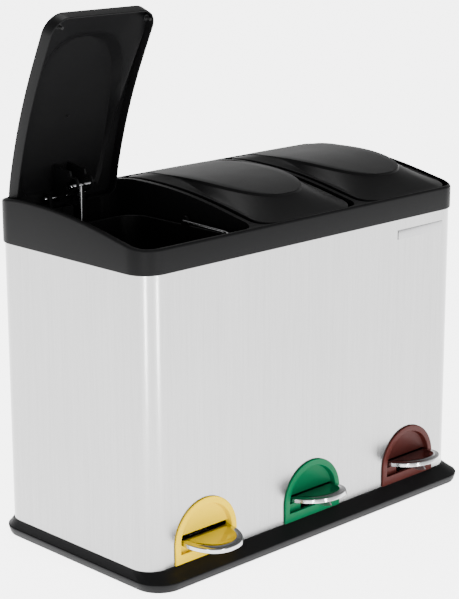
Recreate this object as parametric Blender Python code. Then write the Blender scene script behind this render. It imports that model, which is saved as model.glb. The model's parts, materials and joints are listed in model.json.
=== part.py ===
"""Three-compartment pedal recycling bin: steel shell, plastic base, frame and lids.

Each compartment has a bucket with a bail handle, a lid on a rear hinge pin, and a
pedal lever that lifts a push rod at the back, whose cross bar turns the lid open.
The left pedal is held down, so the left lid stands open; the other two are closed.
Sizes are in metres. X points right, -Y is the pedal side, Z is up, and y = 0 is the
middle of the base until the last step, which puts the origin under the middle of the
whole footprint, pedals included.
"""
import math

import bmesh
import bpy
from mathutils import Matrix, Vector, geometry

# ---- driving dimensions -------------------------------------------------------------
GAP = 0.0003                      # clearance between pieces that touch

BASE_WIDTH, BASE_DEPTH = 0.600, 0.319
BASE_CORNER = 0.038
BASE_BOTTOM = 0.0012              # the tray hangs clear of the floor on its feet
BASE_FLOOR_TOP = 0.0040
BASE_SIDE_TOP = 0.0134
LEDGE_TOP = 0.0226
UPSTAND_TOP = 0.045
UPSTAND_WALL = 0.0022

SHELL_WIDTH, SHELL_DEPTH = 0.5836, 0.2854
SHELL_CENTRE_Y = 0.008            # the shell stands back from the base's middle
SHELL_CORNER = 0.030
SHELL_WALL = 0.0008
SHELL_BOTTOM, SHELL_TOP = 0.0193, 0.4130

FRAME_WIDTH, FRAME_DEPTH = 0.588, 0.290
FRAME_CORNER = 0.0322
FRAME_BOTTOM = 0.398
FRAME_INNER_BOTTOM = 0.3925
FRAME_WALL = 0.0055
RIM_FRONT_TOP = 0.430             # top of the frame at the front
RIM_RISE = 0.028                  # how far its side walls climb towards the back
RIM_RISE_START_Y, RIM_RISE_END_Y = -0.128, 0.090
RIM_EASE = 0.634
RIM_REAR_DROP, RIM_REAR_SPAN = 0.004, 0.047
DIVIDER_X = 0.0975
DIVIDER_WALL = 0.007

COMPARTMENT_PITCH = 0.195
LID_HALF_WIDTH = 0.085
LID_FRONT_Y, LID_REAR_Y = -0.1305, 0.137
LID_FRONT_CORNER, LID_REAR_CORNER = 0.030, 0.016
LID_SKIRT = 0.017
LID_WALL = 0.0022
LID_SKIRT_DRAFT = 0.0015
PLATEAU_PEAK_Y, PLATEAU_PEAK_Z = 0.0325, 0.4652
PLATEAU_FRONT_CURVE, PLATEAU_REAR_CURVE = 0.87, 0.69
TONGUE_WIDEST_Y, TONGUE_HALF_WIDTH = 0.043, 0.0686
TONGUE_FRONT_Y, TONGUE_REAR_Y = -0.0872, 0.120
TONGUE_FRONT_POWER, TONGUE_REAR_POWER = 2.56, 2.4
TONGUE_REAR_REACH = 0.1227        # where the rear curve would close if it ran on
TONGUE_REAR_BULGE = 0.0015

HINGE_Y, HINGE_Z = 0.128, 0.4455
HINGE_PIN_RADIUS = 0.0025
HINGE_PIN_HALF_LENGTH = 0.034
HINGE_HOLE_RADIUS = 0.0029
POST_X, POST_HALF_THICKNESS = 0.0275, 0.0025
POST_TOP_RADIUS = 0.0064
LUG_X, LUG_HALF_THICKNESS = 0.012, 0.0015
LID_OPENING = math.radians(76.0)
CRANK_OPEN = math.radians(30.0)   # crank above the forward horizontal, lid open

PIVOT_Y, PIVOT_Z = -0.116, 0.042
PIVOT_PIN_RADIUS = 0.003
PIVOT_HOLE_RADIUS = 0.0034
PEDAL_REST_TILT = math.radians(13.0)
PEDAL_SWING = math.radians(12.0)
PEDAL_HALF_WIDTH = 0.0420
PEDAL_TOP = 0.0063                # height of the plate above its pivot, plate level
PEDAL_REAR, PEDAL_SHOULDER, PEDAL_TIP = 0.0125, 0.020, 0.068
PEDAL_SKIRT, PEDAL_SHEET = 0.0068, 0.0015
PEDAL_POWER = 2.2
PEDAL_WEDGE = 0.095               # rise of the plate per length from its tip to its rear
LEVER_HALF_THICKNESS = 0.0015
LEVER_END_Z = 0.0142              # top of the lever under the rod, pedal up
ROD_RADIUS = 0.003
ROD_FOOT_CLEARANCE = 0.0008
CROSS_BAR_HALF_LENGTH = 0.0165
SLOT_HALF_WIDTH = 0.0060

BUCKET_HALF_WIDTH = 0.079
BUCKET_FRONT_Y, BUCKET_REAR_Y = -0.1235, 0.083
BUCKET_CORNER = 0.030
BUCKET_BOTTOM, BUCKET_RIM = 0.0665, 0.418
BUCKET_TAPER = 0.009
BUCKET_WALL = 0.0018
BAIL_PIVOT_Y, BAIL_PIVOT_Z = -0.020, 0.4235
BAIL_WIRE = 0.002
BAIL_HALF_WIDTH = 0.0715
BAIL_REACH = 0.1005

PLATFORM_BOTTOM, PLATFORM_TOP = 0.0635, 0.0662
BEZEL_HALF_WIDTH, BEZEL_TOP = 0.0535, 0.099
BEZEL_BAND = 0.009
BEZEL_FRONT_Y, BEZEL_PANEL_Y, BEZEL_REAR_Y = -0.1385, -0.1305, -0.1270
SLOT_BOTTOM, SLOT_TOP = 0.032, 0.0572

COMPARTMENTS = (
    ("left", "yellow", -COMPARTMENT_PITCH, True),
    ("middle", "green", 0.0, False),
    ("right", "brown", COMPARTMENT_PITCH, False),
)

# ---- derived dimensions -------------------------------------------------------------
CRANK_CLOSED = LID_OPENING - CRANK_OPEN
CRANK_SINES = math.sin(CRANK_OPEN) + math.sin(CRANK_CLOSED)
LEVER_DROP = PIVOT_Z - LEVER_END_Z
ROD_TRAVEL = (
    (math.sin(PEDAL_SWING) * (HINGE_Y - PIVOT_Y) + LEVER_DROP * (1 - math.cos(PEDAL_SWING)))
    / (1 + math.sin(PEDAL_SWING) * math.cos(CRANK_OPEN) / CRANK_SINES)
)
CRANK_RADIUS = ROD_TRAVEL / CRANK_SINES
ROD_Y = HINGE_Y - CRANK_RADIUS * math.cos(CRANK_OPEN)
BAR_CLOSED_Z = HINGE_Z - CRANK_RADIUS * math.sin(CRANK_CLOSED)
# The pedals stand out in front of the base by this much, at the tip of a raised plate.
PEDAL_FRONT_Y = (
    PIVOT_Y - PEDAL_TIP * math.cos(PEDAL_REST_TILT) + PEDAL_TOP * math.sin(PEDAL_REST_TILT)
)
PRESSED_FRONT_Y = (
    PIVOT_Y - PEDAL_TIP * math.cos(PEDAL_REST_TILT - PEDAL_SWING)
    - (PEDAL_SKIRT - PEDAL_TOP) * math.sin(PEDAL_REST_TILT - PEDAL_SWING)
)
FOOTPRINT_SHIFT = -(min(PEDAL_FRONT_Y, PRESSED_FRONT_Y) + BASE_DEPTH / 2) / 2


# ---- materials ----------------------------------------------------------------------
def make_finish(name, colour, roughness, metallic=0.0):
    """Return a Principled material."""
    material = bpy.data.materials.new(name)
    material.use_nodes = True
    shader = material.node_tree.nodes["Principled BSDF"]
    shader.inputs["Base Color"].default_value = (*colour, 1.0)
    shader.inputs["Roughness"].default_value = roughness
    shader.inputs["Metallic"].default_value = metallic
    return material


def make_finishes():
    """All the finishes of the bin, by name."""
    return {
        "frame_black": make_finish("frame_black", (0.030, 0.030, 0.031), 0.55),
        "lid_black": make_finish("lid_black", (0.035, 0.035, 0.036), 0.50),
        "base_black": make_finish("base_black", (0.022, 0.022, 0.023), 0.60),
        "bucket_black": make_finish("bucket_black", (0.012, 0.012, 0.013), 0.55),
        "hidden_plastic": make_finish("hidden_plastic", (0.02, 0.02, 0.022), 0.65),
        "rubber": make_finish("rubber", (0.015, 0.015, 0.015), 0.85),
        "brushed_steel": make_finish("brushed_steel", (0.62, 0.62, 0.62), 0.32, 1.0),
        "polished_steel": make_finish("polished_steel", (0.70, 0.70, 0.71), 0.20, 1.0),
        "zinc_steel": make_finish("zinc_steel", (0.50, 0.50, 0.52), 0.40, 1.0),
        "yellow": make_finish("yellow_plastic", (0.90, 0.72, 0.06), 0.45),
        "green": make_finish("green_plastic", (0.02, 0.33, 0.16), 0.45),
        "brown": make_finish("brown_plastic", (0.13, 0.035, 0.028), 0.45),
        "badge": make_finish("badge_plate", (0.55, 0.55, 0.56), 0.35, 0.8),
    }


# ---- mesh helpers -------------------------------------------------------------------
def new_object(name, mesh, material=None):
    """Link a mesh or curve to the scene as an object."""
    item = bpy.data.objects.new(name, mesh)
    bpy.context.scene.collection.objects.link(item)
    if material is not None:
        mesh.materials.clear()
        mesh.materials.append(material)
    return item


def finish_mesh(name, bm, material=None):
    """Turn a bmesh into an object with its faces pointing out."""
    bmesh.ops.recalc_face_normals(bm, faces=bm.faces[:])
    bmesh.ops.triangulate(bm, faces=bm.faces[:])
    mesh = bpy.data.meshes.new(name)
    bm.to_mesh(mesh)
    bm.free()
    return new_object(name, mesh, material)


def skin(name, loops, material=None, ring=False, ladder=False):
    """Bridge closed loops of points into one body.

    ring joins the last loop to the first; otherwise both ends are capped, with a flat
    face or, with ladder, with strips between points that mirror each other in x.
    """
    bm = bmesh.new()
    rows = [[bm.verts.new(point) for point in loop] for loop in loops]
    count = len(rows[0])
    pairs = list(zip(rows, rows[1:])) + ([(rows[-1], rows[0])] if ring else [])
    for lower, upper in pairs:
        for i in range(count):
            j = (i + 1) % count
            bm.faces.new((lower[i], lower[j], upper[j], upper[i]))
    if not ring:
        for row in (rows[0], rows[-1]):
            if ladder:
                cap_with_ladder(bm, row)
            else:
                bm.faces.new(row)
    return finish_mesh(name, bm, material)


def cap_with_ladder(bm, row):
    """Close a loop that mirrors itself in x, strip by strip along y."""
    half = len(row) // 2
    bm.faces.new((row[0], row[1], row[-1]))
    for i in range(1, half - 1):
        bm.faces.new((row[i], row[i + 1], row[-i - 1], row[-i]))
    bm.faces.new((row[half - 1], row[half], row[half + 1]))


def combine(target, tool, operation):
    """Apply an exact Boolean to target and discard the tool object."""
    modifier = target.modifiers.new("combine", "BOOLEAN")
    modifier.object = tool
    modifier.operation = operation
    modifier.solver = "EXACT"
    bpy.context.view_layer.update()
    graph = bpy.context.evaluated_depsgraph_get()
    result = bpy.data.meshes.new_from_object(target.evaluated_get(graph))
    bm = bmesh.new()
    bm.from_mesh(result)
    bmesh.ops.remove_doubles(bm, verts=bm.verts[:], dist=0.000002)
    bmesh.ops.dissolve_degenerate(bm, edges=bm.edges[:], dist=0.000002)
    bm.to_mesh(result)
    bm.free()
    old_mesh = target.data
    target.modifiers.clear()
    materials = list(old_mesh.materials)[:1]
    target.data = result
    result.materials.clear()
    for material in materials:
        result.materials.append(material)
    bpy.data.objects.remove(tool)
    bpy.data.meshes.remove(old_mesh)
    return target


def cut(target, *tools):
    """Subtract each tool from target."""
    for tool in tools:
        combine(target, tool, "DIFFERENCE")
    return target


def join(target, *tools):
    """Unite each tool with target."""
    for tool in tools:
        combine(target, tool, "UNION")
    return target


def smooth(item, angle=35.0):
    """Shade round surfaces smooth and keep real edges sharp."""
    item.data.shade_smooth()
    item.data.set_sharp_from_angle(angle=math.radians(angle))
    return item


def box(x0, x1, y0, y1, z0, z1, name="box"):
    """A plain block."""
    low = [(x0, y0, z0), (x1, y0, z0), (x1, y1, z0), (x0, y1, z0)]
    return skin(name, [low, [(x, y, z1) for x, y, _ in low]])


def extrude(outline, axis, low, high, name="prism"):
    """A prism: an outline in the two other axes, in X, Y, Z order, run along axis."""
    def place(point, level):
        values = list(point)
        values.insert("XYZ".index(axis), level)
        return tuple(values)
    return skin(name, [[place(p, low) for p in outline], [place(p, high) for p in outline]])


def rod(axis, centre, radius, half_length, segments=16, name="rod"):
    """A cylinder about an axis through centre."""
    turn = {
        "X": Matrix.Rotation(math.pi / 2, 4, "Y"),
        "Y": Matrix.Rotation(math.pi / 2, 4, "X"),
        "Z": Matrix.Identity(4),
    }[axis]
    bm = bmesh.new()
    bmesh.ops.create_cone(bm, cap_ends=True, segments=segments, radius1=radius,
                          radius2=radius, depth=2 * half_length,
                          matrix=Matrix.Translation(centre) @ turn)
    return finish_mesh(name, bm)


def wire(name, line, radius, material, segments=8):
    """A round wire along a line that stays nearly level."""
    loops = []
    for i, point in enumerate(line):
        heading = (line[min(i + 1, len(line) - 1)] - line[max(i - 1, 0)]).normalized()
        across = heading.cross(Vector((0.0, 0.0, 1.0))).normalized()
        upward = across.cross(heading)
        loops.append([
            tuple(point + radius * (math.cos(turn) * across + math.sin(turn) * upward))
            for turn in (2 * math.pi * k / segments for k in range(segments))
        ])
    return skin(name, loops, material)


def arc(centre, radius, start, end, segments):
    """Points of an arc in a plane, from start to end in degrees."""
    return [
        (centre[0] + radius * math.cos(math.radians(start + (end - start) * i / segments)),
         centre[1] + radius * math.sin(math.radians(start + (end - start) * i / segments)))
        for i in range(segments + 1)
    ]


def rounded_loop(x0, x1, y0, y1, radius, z, corner_segments=6, side_segments=1):
    """A rounded rectangle seen from above, z being a number or a function of y."""
    points = arc((x1 - radius, y0 + radius), radius, -90, 0, corner_segments)
    low, high = y0 + radius, y1 - radius
    steps = [low + (high - low) * i / side_segments for i in range(1, side_segments)]
    points += [(x1, y) for y in steps]
    points += arc((x1 - radius, y1 - radius), radius, 0, 90, corner_segments)
    points += arc((x0 + radius, y1 - radius), radius, 90, 180, corner_segments)
    points += [(x0, y) for y in reversed(steps)]
    points += arc((x0 + radius, y0 + radius), radius, 180, 270, corner_segments)
    height = z if callable(z) else (lambda y: z)
    return [(x, y, height(y)) for x, y in points]


def around(width, depth, centre_y, corner, inset, z, side_segments=1):
    """A rounded loop of the given outer size, moved inwards by inset."""
    return rounded_loop(-width / 2 + inset, width / 2 - inset,
                        centre_y - depth / 2 + inset, centre_y + depth / 2 - inset,
                        max(corner - inset, 0.002), z, side_segments=side_segments)


def base_loop(inset, z):
    """A loop of the base's outline."""
    return around(BASE_WIDTH, BASE_DEPTH, 0.0, BASE_CORNER, inset, z)


def shell_loop(inset, z):
    """A loop of the shell's outline."""
    return around(SHELL_WIDTH, SHELL_DEPTH, SHELL_CENTRE_Y, SHELL_CORNER, inset, z)


def frame_loop(inset, z):
    """A loop of the top frame's outline, with points along its curved sides."""
    return around(FRAME_WIDTH, FRAME_DEPTH, SHELL_CENTRE_Y, FRAME_CORNER, inset, z, 9)


def rim_height(y):
    """Height of the frame's rim, and of a closed lid's edge, at y."""
    if y <= RIM_RISE_START_Y:
        return RIM_FRONT_TOP
    if y <= RIM_RISE_END_Y:
        along = (y - RIM_RISE_START_Y) / (RIM_RISE_END_Y - RIM_RISE_START_Y)
        return RIM_FRONT_TOP + RIM_RISE * (1 - math.cos(math.pi * along ** RIM_EASE)) / 2
    past = (y - RIM_RISE_END_Y) / RIM_REAR_SPAN
    return RIM_FRONT_TOP + RIM_RISE - RIM_REAR_DROP * min(past, 1.2) ** 2


def plateau_height(y):
    """Height of the raised tongue on a closed lid at y."""
    curve = PLATEAU_FRONT_CURVE if y < PLATEAU_PEAK_Y else PLATEAU_REAR_CURVE
    return PLATEAU_PEAK_Z - curve * (y - PLATEAU_PEAK_Y) ** 2


def arch(half_width, bottom, top, segments=20):
    """Outline in x and z of a doorway with a round head."""
    spring = top - half_width
    return [(-half_width, bottom), (half_width, bottom)] + arc(
        (0.0, spring), half_width, 0, 180, segments)


def shifted(outline, x):
    """Move an outline sideways."""
    return [(point[0] + x, point[1]) for point in outline]


# ---- fixed pieces -------------------------------------------------------------------
def build_base(finish):
    """Base tray: sloping ledge, groove for the shell, upstand and floor."""
    tray = skin("base_tray", [
        base_loop(0.003, BASE_BOTTOM),
        base_loop(0.0, 0.0105),
        base_loop(0.0, BASE_SIDE_TOP - 0.0012),
        base_loop(0.0012, BASE_SIDE_TOP),
        shell_loop(-0.0004, LEDGE_TOP),
        shell_loop(-0.0004, SHELL_BOTTOM - GAP),
        shell_loop(SHELL_WALL + 0.0004, SHELL_BOTTOM - GAP),
        shell_loop(SHELL_WALL + 0.0004, UPSTAND_TOP),
        shell_loop(SHELL_WALL + 0.0004 + UPSTAND_WALL, UPSTAND_TOP),
        shell_loop(SHELL_WALL + 0.0004 + UPSTAND_WALL, BASE_FLOOR_TOP),
    ], finish["base_black"])
    for x, y in foot_places():
        cut(tray, rod("Z", (x, y, 0.0), 0.0115, 0.0027, 16))
    for _, _, x, _ in COMPARTMENTS:
        cut(tray, box(x - 0.0512, x + 0.0512, -0.150, -0.118, LEDGE_TOP + 0.0001, 0.060))
    for _, _, x, _ in COMPARTMENTS:
        cut(tray, rod("Z", (x, PIVOT_Y, 0.0), 0.0024, 0.010, 10))
    smooth(tray)
    for number, (x, y) in enumerate(foot_places(), 1):
        foot = rod("Z", (x, y, 0.0012), 0.0110, 0.0012, 16, "rubber_foot_%d" % number)
        foot.data.materials.append(finish["rubber"])
        smooth(foot)


def foot_places():
    """Centres of the rubber feet."""
    return [(x, y) for x in (-0.262, 0.262) for y in (-0.1245, 0.1245)]


def build_shell(finish):
    """Steel sleeve with three doorways for the pedals."""
    sleeve = skin("steel_shell", [
        shell_loop(0.0, SHELL_BOTTOM),
        shell_loop(0.0, SHELL_TOP),
        shell_loop(SHELL_WALL, SHELL_TOP),
        shell_loop(SHELL_WALL, SHELL_BOTTOM),
    ], finish["brushed_steel"], ring=True)
    doorway = arch(BEZEL_HALF_WIDTH - 0.0026, SHELL_BOTTOM - 0.01, BEZEL_TOP - 0.0026)
    for _, _, x, _ in COMPARTMENTS:
        cut(sleeve, extrude(shifted(doorway, x), "Y", -0.150, -0.120))
    smooth(sleeve)


def build_platform(finish):
    """Raised floor that carries the buckets over the levers."""
    plate = skin("bucket_platform", [
        rounded_loop(-0.2902, 0.2902, -0.1240, 0.1494, 0.028, PLATFORM_BOTTOM),
        rounded_loop(-0.2902, 0.2902, -0.1240, 0.1494, 0.028, PLATFORM_TOP),
    ], finish["hidden_plastic"])
    for x in (-0.276, -DIVIDER_X, DIVIDER_X, 0.276):
        join(plate, box(x - 0.00125, x + 0.00125, -0.116, 0.142,
                        BASE_FLOOR_TOP + GAP, PLATFORM_BOTTOM + 0.001))
    for _, _, x, _ in COMPARTMENTS:
        cut(plate, box(x - 0.006, x + 0.006, ROD_Y - 0.0055, ROD_Y + 0.0055,
                       PLATFORM_BOTTOM - 0.01, PLATFORM_TOP + 0.01))
    smooth(plate)


def build_frame(finish):
    """Top frame: rim, dividers, hinge posts and the lids' corner rests."""
    frame = skin("top_frame", [
        frame_loop(0.0004, FRAME_BOTTOM),
        frame_loop(0.0, FRAME_BOTTOM + 0.0025),
        frame_loop(0.0, lambda y: rim_height(y) - 0.0080),
        frame_loop(0.0012, lambda y: rim_height(y) - 0.0030),
        frame_loop(0.0034, rim_height),
        frame_loop(FRAME_WALL, lambda y: rim_height(y) - 0.0004),
        frame_loop(FRAME_WALL, FRAME_INNER_BOTTOM),
        frame_loop(0.0034, FRAME_INNER_BOTTOM),
        frame_loop(0.0034, SHELL_TOP + GAP),
        frame_loop(0.0018, SHELL_TOP + GAP),
        frame_loop(0.0018, FRAME_BOTTOM),
    ], finish["frame_black"], ring=True)
    for side in (-1, 1):
        join(frame, make_divider(side * DIVIDER_X))
    for _, _, x, _ in COMPARTMENTS:
        for side in (-1, 1):
            join(frame, make_corner_rest(x, side))
            join(frame, make_hinge_post(x + side * POST_X))
        cut(frame, rod("X", (x, HINGE_Y, HINGE_Z), HINGE_HOLE_RADIUS, 0.045, 12))
    smooth(frame)


def make_divider(x):
    """A wall between two compartments, its top following the rim."""
    stations = ((-1.0, 0.0015), (-0.6, 0.0003), (0.6, 0.0003), (1.0, 0.0015))
    steps = [-0.1325 + (0.1485 + 0.1325) * i / 11 for i in range(12)]
    loops = []
    for across, lower in stations:
        side = x + across * DIVIDER_WALL / 2
        top = [(side, y, rim_height(y) - lower) for y in steps]
        loops.append(top + [(side, steps[-1], FRAME_INNER_BOTTOM),
                            (side, steps[0], FRAME_INNER_BOTTOM)])
    return skin("divider", loops)


def make_corner_rest(x, side):
    """Ledge in a front corner of a compartment that stops the closed lid."""
    corner = BUCKET_HALF_WIDTH - BUCKET_CORNER, BUCKET_FRONT_Y + BUCKET_CORNER
    inner = arc(corner, BUCKET_CORNER + 0.0018, -78, -18, 4)
    if x * side > 0.0:
        centre = (FRAME_WIDTH / 2 - FRAME_CORNER - abs(x),
                  SHELL_CENTRE_Y - FRAME_DEPTH / 2 + FRAME_CORNER)
        outer = arc(centre, FRAME_CORNER - 0.0040, 0, -90, 6)
        outer = [(outer[0][0], inner[-1][1])] + outer + [(inner[0][0], outer[-1][1])]
    else:
        outer = [(0.0953, inner[-1][1]), (0.0953, -0.1330), (inner[0][0], -0.1330)]
    outline = [(x + side * px, py) for px, py in inner + outer]
    return extrude(outline, "Z", 0.4030, 0.4105)


def make_hinge_post(x):
    """Upright ear on the rear wall with a round head for the hinge pin."""
    head = arc((HINGE_Y, HINGE_Z), POST_TOP_RADIUS, 0, 180, 8)
    outline = [(HINGE_Y - POST_TOP_RADIUS, 0.4050), (0.1488, 0.4050), (0.1488, 0.4280),
               (HINGE_Y + POST_TOP_RADIUS, 0.4280)] + head
    return extrude(outline, "X", x - POST_HALF_THICKNESS, x + POST_HALF_THICKNESS)


def build_bezel(colour, x, finish):
    """Coloured pedal surround: raised arch band, sunk panel, sloping sill and slot."""
    bottom = LEDGE_TOP + GAP
    boss_width = BEZEL_HALF_WIDTH - 0.0031
    recess_width = BEZEL_HALF_WIDTH - BEZEL_BAND
    recess_top = BEZEL_TOP - BEZEL_BAND
    bezel = extrude(shifted(arch(BEZEL_HALF_WIDTH, bottom, BEZEL_TOP), x), "Y",
                    BEZEL_FRONT_Y, -0.1351, "bezel_" + colour)
    bezel.data.materials.append(finish[colour])
    join(bezel, extrude(shifted(arch(boss_width, bottom, BEZEL_TOP - 0.0031), x), "Y",
                        -0.1355, BEZEL_REAR_Y))
    front_y = BEZEL_FRONT_Y - 0.004
    sill_slope = (SLOT_BOTTOM - bottom - 0.0004) / (BEZEL_PANEL_Y - BEZEL_FRONT_Y)
    sill_front = SLOT_BOTTOM - sill_slope * (BEZEL_PANEL_Y - front_y)
    near = arch(recess_width, sill_front, recess_top)
    far = arch(recess_width, SLOT_BOTTOM, recess_top)
    cut(bezel, skin("recess", [[(px + x, front_y, pz) for px, pz in near],
                               [(px + x, BEZEL_PANEL_Y, pz) for px, pz in far]]))
    cut(bezel, box(x - recess_width + 0.0002, x + recess_width - 0.0002,
                   BEZEL_PANEL_Y - 0.001, BEZEL_REAR_Y + 0.002, SLOT_BOTTOM + 0.0001, SLOT_TOP))
    smooth(bezel)


def build_guide(side, x, finish):
    """Rod guide: a slotted tube, a web and a channel against the rear wall."""
    front, back = ROD_Y - 0.0077, ROD_Y + 0.0078
    tube = [(-0.009, front), (0.009, front), (0.009, ROD_Y - 0.002), (0.007, ROD_Y - 0.002),
            (0.007, front + 0.002), (-0.007, front + 0.002), (-0.007, back - 0.002),
            (0.007, back - 0.002), (0.007, ROD_Y + 0.002), (0.009, ROD_Y + 0.002),
            (0.009, back), (0.0015, back), (0.0015, 0.1320), (-0.0015, 0.1320),
            (-0.0015, back), (-0.009, back)]
    channel = [(-0.017, 0.1310), (0.017, 0.1310), (0.017, 0.1470), (0.015, 0.1470),
               (0.015, 0.1330), (-0.015, 0.1330), (-0.015, 0.1470), (-0.017, 0.1470)]
    foot = PLATFORM_TOP + GAP
    guide = extrude(shifted(channel, x), "Z", foot, 0.4300, "rod_guide_" + side)
    guide.data.materials.append(finish["hidden_plastic"])
    join(guide, extrude(shifted(tube, x), "Z", foot + 0.0004, 0.4120))
    smooth(guide)


def build_hinge_pin(side, x, finish):
    """Steel pin through the frame's posts and the lid's lugs."""
    pin = rod("X", (x, HINGE_Y, HINGE_Z), HINGE_PIN_RADIUS, HINGE_PIN_HALF_LENGTH, 16,
              "hinge_pin_" + side)
    pin.data.materials.append(finish["polished_steel"])
    smooth(pin)


def build_bracket(side, x, finish):
    """Folded steel bracket for the pedal, one ear running on as the pedal's stop."""
    floor = BASE_FLOOR_TOP + GAP
    head = arc((PIVOT_Y, PIVOT_Z + 0.001), 0.0085, 0, 180, 8)
    low = [(PIVOT_Y - 0.0085, floor), (PIVOT_Y + 0.0085, floor)]
    stop = [(-0.1300, 0.0462), (-0.1500, 0.0462), (-0.1580, 0.0372), (-0.1480, 0.0336),
            (PIVOT_Y - 0.0085, 0.0336)]
    inner, outer = 0.0126, 0.0151
    bracket = box(x - outer, x + outer, PIVOT_Y - 0.0085, PIVOT_Y + 0.0085, floor,
                  floor + 0.0020, "pedal_bracket_" + side)
    bracket.data.materials.append(finish["zinc_steel"])
    join(bracket, extrude(low + head, "X", x - outer, x - inner))
    join(bracket, extrude(low + head[:-1] + stop, "X", x + inner, x + outer))
    cut(bracket, rod("X", (x, PIVOT_Y, PIVOT_Z), PIVOT_HOLE_RADIUS, 0.03, 12))
    cut(bracket, rod("Z", (x, PIVOT_Y, floor), 0.0024, 0.01, 10))
    smooth(bracket)
    pin = rod("X", (x, PIVOT_Y, PIVOT_Z), PIVOT_PIN_RADIUS, 0.0175, 16, "pedal_pin_" + side)
    pin.data.materials.append(finish["polished_steel"])
    smooth(pin)


def build_screw(side, x, finish):
    """Screw that holds a bracket to the base."""
    seat = BASE_FLOOR_TOP + GAP + 0.0020 + GAP
    low = BASE_BOTTOM + 0.0004
    high = seat + 0.0005
    screw = rod("Z", (x, PIVOT_Y, seat + 0.0011), 0.0042, 0.0011, 12, "bracket_screw_" + side)
    screw.data.materials.append(finish["zinc_steel"])
    join(screw, rod("Z", (x, PIVOT_Y, (low + high) / 2), 0.0020, (high - low) / 2, 10))
    smooth(screw)


def build_badge(finish):
    """Small blank name plate near the top right of the shell's front."""
    front = SHELL_CENTRE_Y - SHELL_DEPTH / 2
    outline = arc((0.2575, 0.3815), 0.0015, 0, 90, 3) + arc((0.1675, 0.3815), 0.0015, 90, 180, 3)
    outline += arc((0.1675, 0.3720), 0.0015, 180, 270, 3) + arc((0.2575, 0.3720), 0.0015, 270, 360, 3)
    plate = extrude(outline, "Y", front - GAP - 0.0008, front - GAP, "name_badge")
    plate.data.materials.append(finish["badge"])


# ---- lids ---------------------------------------------------------------------------
def lid_edge(inset):
    """Right half of the lid's outline, front middle to rear middle, as x and y."""
    half = LID_HALF_WIDTH - inset
    front, rear = LID_FRONT_Y + inset, LID_REAR_Y - inset
    nose, tail = LID_FRONT_CORNER - inset, LID_REAR_CORNER - inset
    points = [((half - nose) * i / 3, front) for i in range(3)]
    points += arc((half - nose, front + nose), nose, -90, 0, 5)
    low, high = front + nose, rear - tail
    points += [(half, low + (high - low) * i / 6) for i in range(1, 6)]
    points += arc((half - tail, rear - tail), tail, 0, 90, 3)
    points += [((half - tail) * (1 - i / 3), rear) for i in range(1, 4)]
    return points


def tongue_edge():
    """Right half of the raised tongue's outline, matched point for point to lid_edge."""
    points = []
    for i in range(9):
        angle = math.pi / 2 * i / 8
        reach = math.cos(angle) ** (2 / TONGUE_FRONT_POWER)
        width = math.sin(angle) ** (2 / TONGUE_FRONT_POWER)
        points.append((TONGUE_HALF_WIDTH * width,
                       TONGUE_WIDEST_Y - (TONGUE_WIDEST_Y - TONGUE_FRONT_Y) * reach))
    for i in range(1, 10):
        y = TONGUE_WIDEST_Y + (TONGUE_REAR_Y - TONGUE_WIDEST_Y) * i / 9
        along = (y - TONGUE_WIDEST_Y) / TONGUE_REAR_REACH
        width = TONGUE_HALF_WIDTH * (1 - along ** TONGUE_REAR_POWER) ** (1 / TONGUE_REAR_POWER)
        points.append((width, y))
    corner = points[-1][0]
    for share in (0.66, 0.33, 0.0):
        points.append((corner * share, TONGUE_REAR_Y + TONGUE_REAR_BULGE * (1 - share * share)))
    return points


def mirrored(half):
    """Close a half outline that runs from front middle to rear middle."""
    return half + [(-x, y) for x, y in reversed(half[1:-1])]


def lid_loop(inset, height):
    """A loop of the lid's edge, about the hinge axis."""
    return [(x, y - HINGE_Y, height(y) - HINGE_Z) for x, y in mirrored(lid_edge(inset))]


def between(edge, crease, share, lift):
    """Loop part of the way from the edge to the tongue's crease."""
    loop = []
    for (ex, ey), (cx, cy) in zip(mirrored(edge), mirrored(crease)):
        low, high = rim_height(ey), plateau_height(cy)
        loop.append((ex + (cx - ex) * share, ey + (cy - ey) * share - HINGE_Y,
                     low + (high - low) * lift - HINGE_Z))
    return loop


def make_lid_mesh():
    """The lid's moulding with lugs, about its hinge axis, closed."""
    crease = tongue_edge()
    outer, inner = lid_edge(0.0008), lid_edge(LID_WALL)
    under = [(x, y, z - 0.0024) for x, y, z in between(inner, crease, 1.0, 1.0)]
    lid = skin("lid", [
        between(outer, crease, 1.0, 1.0),
        between(outer, crease, 0.85, 0.81),
        between(outer, crease, 0.45, 0.37),
        between(outer, crease, 0.0, 0.0),
        lid_loop(0.0, lambda y: rim_height(y) - 0.0010),
        lid_loop(LID_SKIRT_DRAFT, lambda y: rim_height(y) - LID_SKIRT),
        lid_loop(LID_SKIRT_DRAFT + LID_WALL, lambda y: rim_height(y) - LID_SKIRT),
        lid_loop(LID_WALL + 0.0004, lambda y: rim_height(y) - 0.0034),
        [(x, y, z - 0.0024) for x, y, z in between(inner, crease, 0.40, 0.31)],
        [(x, y, z - 0.0024) for x, y, z in between(inner, crease, 0.85, 0.78)],
        under,
    ], ladder=True)
    cut(lid, box(-0.0345, 0.0345, 0.1300 - HINGE_Y, 0.150 - HINGE_Y, -0.02, 0.4514 - HINGE_Z))
    for side in (-1, 1):
        join(lid, make_lug(side * LUG_X))
        x, y = bumper_place(side)
        join(lid, rod("Z", (x, y - HINGE_Y, 0.4200 - HINGE_Z), 0.0046, 0.0014, 12))
    cut(lid, rod("X", (0.0, 0.0, 0.0), HINGE_HOLE_RADIUS, 0.02))
    cut(lid, make_slot())
    mesh = lid.data
    bpy.data.objects.remove(lid)
    return mesh


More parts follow.
